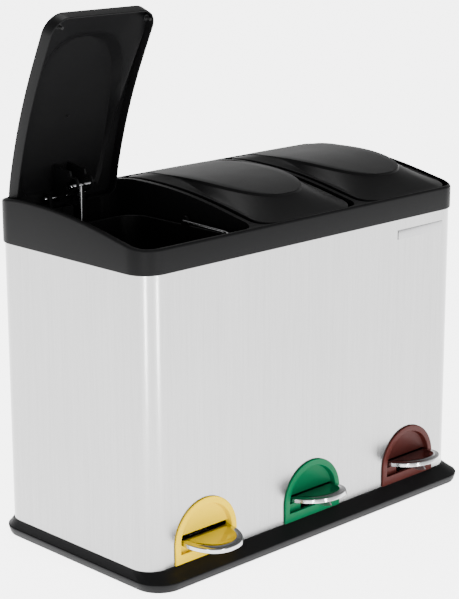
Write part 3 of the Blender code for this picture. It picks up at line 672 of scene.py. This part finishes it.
LINE = LidLine()


# ---- cabinet ----
@dataclass
class Cabinet:
    """Base tray, steel shell, top frame and name plate."""

    body: str = "cabinet"
    wall: float = 0.0008
    side_top: float = 0.0134
    ledge_top: float = 0.0226
    upstand_top: float = 0.0450
    divider: float = 0.0975
    divider_wall: float = 0.007
    rim_wall: float = 0.0055
    notch_half: float = 0.0512
    foot_x: float = 0.262
    foot_y: float = 0.1245
    foot_pocket: float = 0.0115
    doorway_half: float = 0.0509
    doorway_top: float = 0.0964
    seam: Flat = (-0.1430, -0.1370)
    seam_top: float = 0.3975
    groove: float = 0.4133
    skirt: float = 0.398
    opening_corner: float = 0.0225
    post_x: float = 0.0275
    post_half: float = 0.0025
    post_head: float = 0.0064
    post_foot: float = 0.4050
    post_rear: float = 0.1488
    post_step: float = 0.4280
    rest_low: float = 0.4030
    rest_high: float = 0.4105
    rest_front: float = -0.1330
    rest_reach: float = 0.0953
    base: Outline = field(init=False)
    shell: Outline = field(init=False)
    rim: Outline = field(init=False)

    def __post_init__(self) -> None:
        """Take the outlines from the frame's boxes."""
        self.base = self.outline(BASE_LOW, BASE_HIGH, 0.038, 14, 1)
        self.shell = self.outline(SHELL_LOW, SHELL_HIGH, 0.030, 14, 1)
        self.rim = self.outline(FRAME_LOW, FRAME_HIGH, 0.0322, 14, 36)

    @staticmethod
    def outline(low: Point, high: Point, corner: float, steps: int, side_steps: int) -> Outline:
        """The outline of a box in bin coordinates."""
        return Outline(low[0], high[0], low[1] - FOOTPRINT_SHIFT, high[1] - FOOTPRINT_SHIFT,
                       corner, steps, side_steps)

    def build(self) -> None:
        """Make every piece of the cabinet."""
        self.build_base()
        self.build_shell()
        self.build_frame()
        self.build_badge()

    def build_base(self) -> None:
        """Tray with a rounded side, a sloping ledge, a groove and an upstand."""
        bottom, ledge, upstand = BASE_LOW[2], self.ledge_top, self.upstand_top
        rings = self.base.stack((0.0050, bottom), (0.0034, bottom + 0.0006),
                                (0.0024, bottom + 0.0022), (0.0003, 0.0100))
        rings += self.base.stack(*((inset, self.side_top - drop) for inset, drop in rounding(0.0014)))
        rings += self.shell.stack((-0.0011, ledge - 0.0006), (-0.0009, ledge),
                                  (-0.0004, ledge - 0.0002), (-0.0004, 0.0190), (0.0012, 0.0190),
                                  (0.0012, upstand - 0.0004), (0.0016, upstand), (0.0030, upstand),
                                  (0.0034, upstand - 0.0004), (0.0034, 0.0050), (0.0044, 0.0040))
        tray = loft("base_tray_fine", rings)
        for spot in COMPARTMENTS:
            carve(tray, block("notch", (spot.x - self.notch_half, CUT_FRONT, self.ledge_top + 0.0001),
                              (spot.x + self.notch_half, CUT_REAR, 0.060)))
        for x in (-self.foot_x, self.foot_x):
            for y in (-self.foot_y, self.foot_y):
                carve(tray, pin("pocket", (x, y, 0.0), "Z", self.foot_pocket, 0.0054, 0.0, 40))
        hand_over(tray, Finish.BASE, self.body, "base_tray", angle=35.0)

    def build_shell(self) -> None:
        """Thin brushed sleeve with hemmed edges and three doorways."""
        low, high = SHELL_LOW[2], SHELL_HIGH[2]
        rings = self.shell.stack((0.0, low), (0.0, high), (self.wall, high), (self.wall, low))
        sleeve = loft("steel_shell_fine", rings, closed=True)
        arch = Surround.arch(self.doorway_half, low - 0.01, self.doorway_top)
        for spot in COMPARTMENTS:
            doorway = [(x + spot.x, z) for x, z in arch]
            carve(sleeve, prism("doorway", doorway, "Y", CUT_FRONT, CUT_REAR))
        seam_y = SHELL_HIGH[1] - FOOTPRINT_SHIFT
        seam = block("rear_seam", (self.seam[0], seam_y - 0.0004, self.ledge_top + 0.0010),
                     (self.seam[1], seam_y + 0.0007, self.seam_top))
        soften(seam, 0.0003, 2)
        join(sleeve, seam)
        hand_over(sleeve, Finish.SHELL, self.body, "steel_shell")

    def build_frame(self) -> None:
        """Moulded top with three round-cornered openings, hinge posts and corner rests."""
        under, rim = FRAME_LOW[2], self.rim
        rings = [rim.spine(0.0040, under)]
        rings += rim.stack((0.0040, under), (0.0034, under + 0.0006), (0.0034, self.groove),
                           (0.0018, self.groove), (0.0018, self.skirt))
        rings += rim.stack(*((inset, self.skirt + up) for inset, up in reversed(rounding(0.0016))))
        for inset, drop in rounding(0.0034, 6):
            rings.append(rim.ring(inset, lambda y, d=drop: LINE.rim(y) - d))
        rings.append(rim.spine(0.0034, LINE.rim))
        top = loft("top_frame_fine", rings)
        half = self.divider - self.divider_wall / 2
        outer = rim.x1 - self.rim_wall
        near, far = rim.y0 + self.rim_wall, rim.y1 - self.rim_wall
        for x0, x1 in ((-outer, -half - self.divider_wall), (-half, half),
                       (half + self.divider_wall, outer)):
            opening = Outline(x0, x1, near, far, self.opening_corner)
            carve(top, loft("opening", opening.stack((0.0, 0.35), (0.0, 0.50))))
        soften(top, 0.0011, 3, 50.0)
        halves = [(spot.x, side) for spot in COMPARTMENTS for side in (-1, 1)]
        posts = row(self.post(), [(x + side * self.post_x, 0.0, 0.0) for x, side in halves])
        join(top, *posts, *(self.rest(x, side) for x, side in halves))
        hand_over(top, Finish.FRAME, self.body, "top_frame", angle=38.0)

    def post(self) -> Piece:
        """Hinge post with a round head and a hole for the pin."""
        outline = [(HINGE_Y - self.post_head, self.post_foot), (self.post_rear, self.post_foot),
                   (self.post_rear, self.post_step), (HINGE_Y + self.post_head, self.post_step)]
        outline += arc((HINGE_Y, HINGE_Z), self.post_head, 0, 180, 24)
        post = prism("post", outline, "X", -self.post_half, self.post_half)
        carve(post, pin("hole", (0.0, HINGE_Y, HINGE_Z), "X", HINGE_BORE, 0.02, 0.0, 24))
        soften(post, 0.0004, 2)
        return post

    def rest(self, x: float, side: int) -> Piece:
        """Ledge in an opening's front corner on which the closed lid's bumper lands."""
        inner = arc((0.049, -0.0935), 0.0318, -78, -18, 12)
        reach, bend = self.rest_reach, 0.006
        if x * side > 0:
            reach, bend = min(reach, self.rim.x1 - 0.0045 - abs(x)), 0.026
        outer = arc((reach - bend, self.rest_front + bend), bend, 0, -90, 8)
        ring = inner + [(reach, inner[-1][1])] + outer + [(inner[0][0], self.rest_front)]
        rest = prism("rest", [(x + side * px, py) for px, py in ring], "Z", self.rest_low,
                     self.rest_high)
        soften(rest, 0.0004, 2, 50.0)
        return rest

    def build_badge(self) -> None:
        """Blank name plate with a raised border."""
        low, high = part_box("name_badge")
        y0, y1 = low[1] - FOOTPRINT_SHIFT, high[1] - FOOTPRINT_SHIFT
        plate = block("name_badge_fine", (low[0], y0 + 0.0002, low[2]), (high[0], y1, high[2]))
        focus(plate)
        bpy.ops.object.mode_set(mode="EDIT")
        mesh = bmesh.from_edit_mesh(plate.data)
        for face in mesh.faces:
            face.select_set(face.normal.y < -0.9)
        bmesh.update_edit_mesh(plate.data)
        bpy.ops.mesh.inset(thickness=0.0008, depth=0.0002)
        bpy.ops.mesh.inset(thickness=0.0004, depth=-0.0003)
        bpy.ops.object.mode_set(mode="OBJECT")
        soften(plate, 0.0001, 2, 40.0)
        hand_over(plate, Finish.BADGE, self.body, "name_badge")


# ---- compartment pieces ----
@dataclass
class Surround(Repeated):
    """Coloured pedal surround: raised arch band, sunk panel, sill and slot."""

    stem = "bezel_"
    finish = None
    angle = 32.0

    half: float = 0.0528
    top: float = 0.0998
    foot: float = 0.0229
    band: float = 0.0088
    front: float = -0.1374
    flange: float = -0.1351
    panel: float = -0.1305
    rear: float = -0.1270
    step: float = 0.0031
    sill: float = 0.0352
    slot_low: float = 0.0321
    slot_high: float = 0.0572
    plate_low: float = 0.0448
    lever_half: float = 0.0168

    @staticmethod
    def arch(half: float, bottom: float, top: float, steps: int = 48) -> list[Flat]:
        """Outline in x and z of a doorway with a round head."""
        rise = [(half, bottom + (top - half - bottom) * i / 4) for i in range(4)]
        fall = [(-x, z) for x, z in reversed(rise)]
        return rise + arc((0.0, top - half), half, 0, 180, steps) + fall

    def ring(self, y: float, half: float, bottom: float, top: float) -> Ring:
        """An arch at a depth."""
        return [(x, y, z) for x, z in self.arch(half, bottom, top)]

    def model(self) -> Piece:
        """Shape the surround, from its rear over the band to the sunk panel."""
        inner, crown, ring = self.half - self.band, self.top - self.band, self.ring
        back, head = self.half - self.step, self.top - self.step
        rings = [ring(self.rear, back, self.foot, head), ring(self.flange, back, self.foot, head),
                 ring(self.flange, self.half, self.foot, self.top)]
        rings += [ring(self.front + drop, self.half - inset, self.foot + inset / 2, self.top - inset)
                  for inset, drop in rounding(0.0012)]
        rings += [ring(self.front + drop, inner + inset, self.sill - inset, crown + inset)
                  for inset, drop in reversed(rounding(0.0010))]
        rings += [ring(self.panel - rise, inner - inset, foot, crown - inset)
                  for rise, inset, foot in ((0.0012, 0.0008, 0.0326), (0.0003, 0.0013, 0.0322),
                                            (0.0, 0.0024, self.slot_low))]
        surround = loft("surround", rings)
        for half, low in ((inner - 0.0010, self.plate_low), (self.lever_half, self.slot_low)):
            carve(surround, block("slot", (-half, self.panel - 0.0030, low),
                                  (half, self.rear + 0.002, self.slot_high)))
        return surround


@dataclass
class Lid(Repeated):
    """Rear-hinged lid with a raised tongue, a hollow underside, lugs and a skirt."""

    stem = "lid_"
    finish = Finish.LID
    angle = 24.0
    origin = (HINGE_Y, HINGE_Z)

    half: float = 0.085
    front: float = -0.1305
    rear: float = 0.137
    nose: float = 0.026
    tail: float = 0.016
    skirt: float = 0.017
    wall: float = 0.0022
    draft: float = 0.0015
    tongue_half: float = 0.0686
    widest: float = 0.043
    tongue_front: float = -0.0872
    tongue_rear: float = 0.120
    rear_reach: float = 0.1227
    front_power: float = 2.56
    rear_power: float = 2.4
    crank: float = 0.03669
    crank_turn: float = math.radians(43.0)
    slot_half: float = 0.006
    lug_x: float = 0.012
    lug_half: float = 0.0015

    def edge(self, inset: float) -> list[Flat]:
        """Right half of the outline, front middle to rear middle."""
        half, front, rear = self.half - inset, self.front + inset, self.rear - inset
        nose, tail = self.nose - inset, self.tail - inset
        points = [((half - nose) * i / 8, front) for i in range(8)]
        points += arc((half - nose, front + nose), nose, -90, 0, 16)
        low, high = front + nose, rear - tail
        points += [(half, low + (high - low) * i / 24) for i in range(1, 24)]
        points += arc((half - tail, rear - tail), tail, 0, 90, 10)
        points += [((half - tail) * (1 - i / 8), rear) for i in range(1, 9)]
        return points

    def tongue(self) -> list[Flat]:
        """Right half of the tongue's crease, matched point for point to the edge."""
        points = []
        for i in range(25):
            angle = math.pi / 2 * i / 24
            reach = math.cos(angle) ** (2 / self.front_power)
            width = math.sin(angle) ** (2 / self.front_power)
            points.append((self.tongue_half * width,
                           self.widest - (self.widest - self.tongue_front) * reach))
        for i in range(1, 33):
            y = self.widest + (self.tongue_rear - self.widest) * i / 32
            along = (y - self.widest) / self.rear_reach
            width = (1 - along ** self.rear_power) ** (1 / self.rear_power)
            points.append((self.tongue_half * width, y))
        corner = points[-1][0]
        for i in range(1, 9):
            share = 1 - i / 8
            points.append((corner * share, self.tongue_rear + 0.0015 * (1 - share * share)))
        return points

    @staticmethod
    def whole(half: list[Flat]) -> list[Flat]:
        """Both halves of an outline."""
        return half + [(-x, y) for x, y in reversed(half[1:-1])]

    def skin(self, inset: float, share: float, lift: float, sink: float = 0.0,
             spread: float = 1.0) -> Ring:
        """A ring part of the way from the edge to the crease, about the hinge.

        Args:
            inset: how far the edge is moved in.
            share: 0 at the edge, 1 at the crease.
            lift: share of the height between them.
            sink: how far below the outer surface.
            spread: 1 keeps the width, 0 squeezes the ring onto the middle line.
        """
        ring = []
        for (ex, ey), (cx, cy) in zip(self.whole(self.edge(inset)), self.whole(self.tongue())):
            low, high = LINE.rim(ey), LINE.plateau(cy)
            ring.append(((ex + (cx - ex) * share) * spread,
                         ey + (cy - ey) * share - HINGE_Y,
                         low + (high - low) * lift - sink - HINGE_Z))
        return ring

    def side(self, inset: float, drop: float) -> Ring:
        """A ring of the skirt."""
        return [(x, y - HINGE_Y, LINE.rim(y) - drop - HINGE_Z)
                for x, y in self.whole(self.edge(inset))]

    def rings(self) -> list[Ring]:
        """Every ring from the middle of the underside round to the middle of the top."""
        skin, side, wall, draft, skirt = self.skin, self.side, self.wall, self.draft, self.skirt
        edge, sink = 0.0012, 0.0024
        rings = [skin(wall, 1.0, 1.0, sink, spread) for spread in (0.0, 0.35, 0.7, 0.96)]
        rings += [skin(wall, 0.985, 0.975, sink), skin(wall, 0.93, 0.86, sink)]
        rings += [skin(wall, share, lift, sink + 0.0012)
                  for share, lift in ((0.78, 0.55), (0.74, 0.51), (0.68, 0.47), (0.4, 0.27),
                                      (0.2, 0.12), (0.06, 0.02))]
        rings += [side(wall, 0.0036), side(wall + 0.0004, 0.0060),
                  side(draft + wall, skirt - 0.0006), side(draft + wall - 0.0005, skirt),
                  side(draft + 0.0005, skirt), side(draft, skirt - 0.0006), side(0.0, 0.0016)]
        rings += [skin(inset, 0.0, 0.0, drop) for inset, drop in rounding(edge)[1:]]
        for i in range(1, 17):
            share = i / 16.6
            rings.append(skin(edge, share, 0.90 * share - 0.16 * share * (1 - share)))
        rings += [skin(edge, 0.985, 0.955), skin(edge, 0.995, 0.990)]
        return rings + [skin(edge, 1.0, 1.0, 0.0, spread) for spread in (0.985, 0.8, 0.55, 0.28, 0.0)]

    def slot_ends(self) -> list[Flat]:
        """Ends of the lug's slot, about the hinge."""
        reach = (self.crank - 0.0056, self.crank + 0.0050)
        return [(-r * math.cos(self.crank_turn), -r * math.sin(self.crank_turn)) for r in reach]

    def capsule(self, grow: float) -> list[Flat]:
        """The slot's outline, grown."""
        (y0, z0), (y1, z1) = self.slot_ends()
        heading = math.degrees(math.atan2(z1 - z0, y1 - y0))
        radius = self.slot_half + grow
        return (arc((y1, z1), radius, heading - 90, heading + 90, 20)
                + arc((y0, z0), radius, heading + 90, heading + 270, 20))

    def lug(self) -> Piece:
        """Plate that carries the hinge hole and the slot."""
        sides = (-self.lug_half, self.lug_half)
        arm = prism("lug", self.capsule(0.0028), "X", *sides)
        web = [(0.0, -0.0065), (0.0062, -0.002), (0.0050, 0.004)]
        web += [(y - HINGE_Y, LINE.plateau(y) - 0.0014 - HINGE_Z)
                for y in (0.118, 0.108, 0.098, 0.088)]
        web += [(-0.0430, -0.0180), (-0.0215, -0.0290)]
        weld(arm, prism("web", web, "X", *sides),
             pin("eye", (0.0, 0.0, 0.0), "X", 0.0065, 2 * self.lug_half, 0.0, 40))
        carve(arm, prism("slot", self.capsule(0.0), "X", -0.01, 0.01),
              pin("hole", (0.0, 0.0, 0.0), "X", HINGE_BORE, 0.02, 0.0, 32))
        soften(arm, 0.0003, 2, 50.0)
        return arm

    def model(self) -> Piece:
        """Shape the lid about its hinge, with its lugs, bumper bosses and moulding mark."""
        lid = loft("lid", self.rings())
        carve(lid, block("hinge_gap", (-0.0345, 0.0020, -0.02), (0.0345, 0.022, 0.0059)))
        lugs = row(self.lug(), [(self.lug_x, 0.0, 0.0), (-self.lug_x, 0.0, 0.0)])
        boss = pin("boss", (0.0, -0.2449, -0.0255), "Z", 0.0046, 0.0028, 0.0003)
        bosses = row(boss, [(-0.0714, 0.0, 0.0), (0.0714, 0.0, 0.0)])
        mark = pin("mark", (0.0, -0.105, 0.0138), "Z", 0.0016, 0.0016, 0.0003, 24)
        return join(lid, *lugs, *bosses, mark)

    def turn(self, spot: Compartment) -> float:
        """A lid's turn on its hinge."""
        return -LID_OPENING if spot.is_open else 0.0


@dataclass
class Pedal(Repeated):
    """Pressed half-round plate, thicker set towards its rear, over a flat lever."""

    stem = "pedal_plate_"
    rider = "pedal_"
    angle = 40.0
    origin = (-0.116, 0.042)

    half: float = 0.0420
    shoulder: float = 0.020
    tip: float = 0.068
    rear: float = 0.0125
    top: float = 0.0063
    skirt: float = 0.0068
    sheet: float = 0.0015
    power: float = 2.2
    wedge: float = 0.095
    dish: float = 0.0011
    dish_edge: float = 0.0104

    def ring(self, inset: float, back: float, z: float, spread: float = 1.0) -> Ring:
        """Half-round outline moved in, its straight side at a distance behind the pivot."""
        half, depth = self.half - inset, self.tip - self.shoulder - inset
        rear, cheek = -self.rear - back, -(self.rear + self.shoulder) / 2
        points = [(half, rear), (half, cheek)]
        for i in range(49):
            c, s = math.cos(math.pi * i / 48), math.sin(math.pi * i / 48)
            points.append((math.copysign(half * abs(c) ** (2 / self.power), c),
                           -self.shoulder - depth * s ** (2 / self.power)))
        points += [(-half, cheek), (-half, rear)]
        points += [(half * x, rear) for x in (-0.5, 0.0, 0.5)]
        middle = -self.rear - 0.020
        spread_points = [(x * spread, middle + (y - middle) * spread) for x, y in points]
        return [(x, y, z + self.wedge * (y + self.tip)) for x, y in spread_points]

    def ridge(self, inset: float, share: float) -> Ring:
        """A ring of the crescent ridge, which fades out towards the straight side."""
        flat = self.ring(inset, 0.0006, self.top - self.dish)
        return [(x, y, z + self.dish * share * min(max((-y - 0.021) / 0.022, 0.0), 1.0))
                for x, y, z in flat]

    def model(self) -> Piece:
        """Shape the plate about its pivot, from the underside over the edge to the dish."""
        ring, top, low, sheet = self.ring, self.top, self.top - self.skirt, self.sheet
        rings = [ring(sheet, 0.0010, top - sheet, 0.0), ring(sheet, 0.0010, top - sheet),
                 ring(sheet, 0.0010, low + 0.0003), ring(sheet - 0.0004, 0.0005, low),
                 ring(0.0004, 0.0002, low), ring(0.0, 0.0, low + 0.0004)]
        rings += [ring(inset, inset / 3, top - drop - self.dish) for inset, drop in rounding(0.0014, 5)]
        rings += [self.ridge(inset, share)
                  for inset, share in ((0.0058, 0.0), (0.0068, 0.5), (0.0076, 0.95), (0.0084, 1.0),
                                       (0.0092, 0.7), (self.dish_edge, 0.0))]
        rings += [ring(self.dish_edge, 0.0006, top - self.dish, spread) for spread in (0.7, 0.4, 0.0)]
        return loft("pedal_plate", rings)

    def turn(self, spot: Compartment) -> float:
        """A plate's tilt about its pivot; an open lid's pedal is down."""
        return -PEDAL_REST_TILT + (PEDAL_SWING if spot.is_open else 0.0)


@dataclass
class Bucket(Repeated):
    """Tapered inner bucket with a turned rim and two ears."""

    stem = "bucket_"
    finish = Finish.BUCKET

    body: Outline = field(default_factory=lambda: Outline(
        -0.079, 0.079, -0.1235, 0.083, 0.030, 10, 4))
    bottom: float = 0.0665
    rim: float = 0.418
    taper: float = 0.009
    wall: float = 0.0018
    pivot_y: float = -0.020
    pivot_z: float = 0.4235
    neck: float = 0.0025
    ear_inside: float = 0.0752
    ear_outside: float = 0.0784

    def rings(self) -> list[Ring]:
        """Rings from the outside of the bottom over the rim to the inside."""
        stack, neck, low = self.body.stack, self.neck, self.bottom
        inner, floor = neck + self.wall, self.taper + self.wall
        rings = stack((self.taper + 0.006, low), (self.taper + 0.002, low + 0.001),
                      (self.taper, low + 0.005), (neck, self.rim - 0.0085),
                      (0.0004, self.rim - 0.0085), (0.0, self.rim - 0.0080))
        bend = rounding(0.0014)
        rings += stack(*((inset, self.rim - drop) for inset, drop in bend))
        rings += stack(*((inner - inset, self.rim - drop) for inset, drop in reversed(bend)))
        return rings + stack((floor, low + 0.0070), (floor + 0.0015, low + 0.0035),
                             (floor + 0.0050, low + 0.0020))

    def ear(self) -> Piece:
        """Upright ear on the left side, with a hole for the handle."""
        outline = [(self.pivot_y - 0.0085, 0.4120), (self.pivot_y + 0.0085, 0.4120)]
        outline += arc((self.pivot_y, self.pivot_z), 0.0060, 0, 180, 20)
        ear = prism("ear", outline, "X", -self.ear_outside, -self.ear_inside)
        carve(ear, pin("hole", (-0.077, self.pivot_y, self.pivot_z), "X", 0.0025, 0.02, 0.0, 24))
        soften(ear, 0.0004, 2)
        return ear

    def model(self) -> Piece:
        """Shape the bucket with its ears."""
        across = self.ear_inside + self.ear_outside
        ears = row(self.ear(), [(0.0, 0.0, 0.0), (across, 0.0, 0.0)])
        return join(loft("bucket", self.rings()), *ears)


@dataclass
class Handle(Repeated):
    """Wire handle folded down onto its bucket's rim."""

    stem = "bail_handle_"
    angle = 60.0
    origin = (Bucket.pivot_y, Bucket.pivot_z)
    clearance: float = 0.0004
    radius: float = 0.0020
    reach: float = 0.1005
    half: float = 0.0715
    end: float = 0.0793
    bend: float = 0.004
    nose: float = 0.026

    def line(self) -> list[Vector]:
        """Centre line of the folded handle, about its pivot."""
        half = [(self.end, 0.0)]
        half += arc((self.half + self.bend, -self.bend), self.bend, 90, 180, 8)
        half += arc((self.half - self.nose, -self.reach + self.nose), self.nose, 0, -90, 16)
        whole = half + [(0.0, -self.reach)] + [(-x, y) for x, y in reversed(half)]
        drop = Bucket.pivot_z - Bucket.rim - self.radius - self.clearance
        return [Vector((x, y, drop * y / self.reach)) for x, y in whole]

    def model(self) -> Piece:
        """Bend the wire."""
        return wire("bail_handle", self.line(), self.radius)


@dataclass
class PushRod(Repeated):
    """Push rod with a cross bar at its top."""

    stem = "push_rod_"

    radius: float = 0.003
    bar_half: float = 0.0165

    def model(self) -> Piece:
        """Shape the rod upwards from its foot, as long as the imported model's."""
        low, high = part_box("push_rod_left")
        length = high[2] - self.radius - low[2]
        rod = pin("push_rod", (0.0, 0.0, length / 2), "Z", self.radius, length, 0.0010)
        return weld(rod, pin("bar", (0.0, 0.0, length), "X", self.radius, 2 * self.bar_half, 0.0008))

    def stand(self, spot: Compartment) -> Matrix:
        """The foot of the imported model's rod."""
        low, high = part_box(self.stem + spot.side)
        return Matrix.Translation((spot.x, (low[1] + high[1]) / 2 - FOOTPRINT_SHIFT, low[2]))


@dataclass
class HingePin(Repeated):
    """Pin on which a lid turns."""

    stem = "hinge_pin_"
    origin = (HINGE_Y, HINGE_Z)

    radius: float = 0.0025
    half: float = 0.034

    def model(self) -> Piece:
        """Turn the pin with softened ends."""
        return pin("hinge_pin", (0.0, 0.0, 0.0), "X", self.radius, 2 * self.half, 0.0007)


def dress_frame() -> None:
    """Give the carried-over nodes their finishes."""
    finishes = {
        "rubber_foot": Finish.RUBBER, "lid_bumper": Finish.RUBBER, "bucket_platform": Finish.INNER,
        "rod_guide": Finish.INNER, "pedal_bracket": Finish.ZINC, "pedal_pin": Finish.CHROME,
        "bracket_screw": Finish.ZINC, "pedal_lever": Finish.ZINC,
    }
    for name, node in frame["nodes"].items():
        for stem, finish in finishes.items():
            if name.startswith(stem):
                node.data.materials.clear()
                node.data.materials.append(finish.material())
                LOG.info("%s keeps its shape", name)


# ---- studio ----
@dataclass
class Studio:
    """Pale floor, soft lights and the camera."""

    eye: Point = (-1.6314, -1.6463, 0.9087)
    heading: float = math.radians(44.396)
    pitch: float = math.radians(-14.791)
    roll: float = math.radians(-0.14)
    focal: float = 106.9
    shift_x: float = -0.00077
    shift_y: float = -0.00429

    def build(self) -> None:
        """Set up everything around the bin."""
        self.build_floor()
        self.build_lights()
        self.build_camera()

    @staticmethod
    def build_floor() -> None:
        """Large pale floor."""
        deselect()
        bpy.ops.mesh.primitive_plane_add(size=16.0, location=(0.0, 0.0, 0.0))
        floor = bpy.context.object
        floor.name = "floor"
        graph, material = Graph.of_material("pale_floor")
        graph.set(Base_Color=(0.80, 0.80, 0.80, 1.0), Roughness=0.9, Specular_IOR_Level=0.1,
                  Emission_Color=(1.0, 1.0, 1.0, 1.0), Emission_Strength=5.0)
        floor.data.materials.append(material)
        floor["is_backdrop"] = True

    @staticmethod
    def build_lights() -> None:
        """Even white surroundings with large soft panels."""
        world = bpy.data.worlds.new("studio_air")
        bpy.context.scene.world = world
        world.use_nodes = True
        graph = Graph(world.node_tree, "Background")
        heading = graph.node("ShaderNodeTexCoord", {}, "Generated")
        rise = graph.node("ShaderNodeSeparateXYZ", {}, "Z", heading)
        graph.set(Color=(1.0, 1.0, 1.0, 1.0), Strength=1.9 - rise.above(0.10, 0.35) * 1.5)
        panels = (("top_panel", (0.3, 0.9, 2.6), (0.0, 0.0, 0.25), (1.2, 1.2), 30.0),
                  ("camera_strip", (-0.94, -0.71, 0.30), (-0.27, -0.11, 0.30), (0.06, 0.60), 5.0),
                  ("front_strip", (-0.13, -1.00, 0.30), (-0.27, -0.11, 0.30), (0.06, 0.60), 5.0))
        for name, place, target, size, power in panels:
            deselect()
            bpy.ops.object.light_add(type="AREA", location=place)
            lamp = bpy.context.object
            lamp.name = name
            lamp.visible_camera = False
            lamp.data.shape = "RECTANGLE"
            lamp.data.size, lamp.data.size_y = size
            lamp.data.energy = power
            aim = (Vector(target) - Vector(place)).to_track_quat("-Z", "Y")
            lamp.rotation_euler = aim.to_euler()

    def build_camera(self) -> None:
        """Three-quarter camera from the pedal side's left."""
        deselect()
        bpy.ops.object.camera_add()
        camera = bpy.context.object
        camera.name = "studio_camera"
        turn = (Matrix.Rotation(-self.heading, 4, "Z")
                @ Matrix.Rotation(math.pi / 2 + self.pitch, 4, "X")
                @ Matrix.Rotation(self.roll, 4, "Z"))
        eye = Vector(self.eye) + Vector((0.0, FOOTPRINT_SHIFT, 0.0))
        camera.matrix_world = Matrix.Translation(eye) @ turn
        camera.data.sensor_fit = "VERTICAL"
        camera.data.sensor_height = 36.0
        camera.data.lens = self.focal
        camera.data.shift_x = self.shift_x
        camera.data.shift_y = self.shift_y
        bpy.context.scene.camera = camera


def write_sizes() -> None:
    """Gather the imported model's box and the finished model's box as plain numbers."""
    boxes = {"cad": CAD_BOX, "visual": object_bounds()}
    plain = {key: [[float(v) for v in corner] for corner in box] for key, box in boxes.items()}


def main() -> None:
    """Build the bin, its finishes and the studio."""
    Cabinet().build()
    for piece in (Surround(), Lid(), Pedal(), Bucket(), Handle(), PushRod(), HingePin()):
        piece.furnish()
    dress_frame()
    Studio().build()
    write_sizes()


if __name__ == "__main__":
    main()
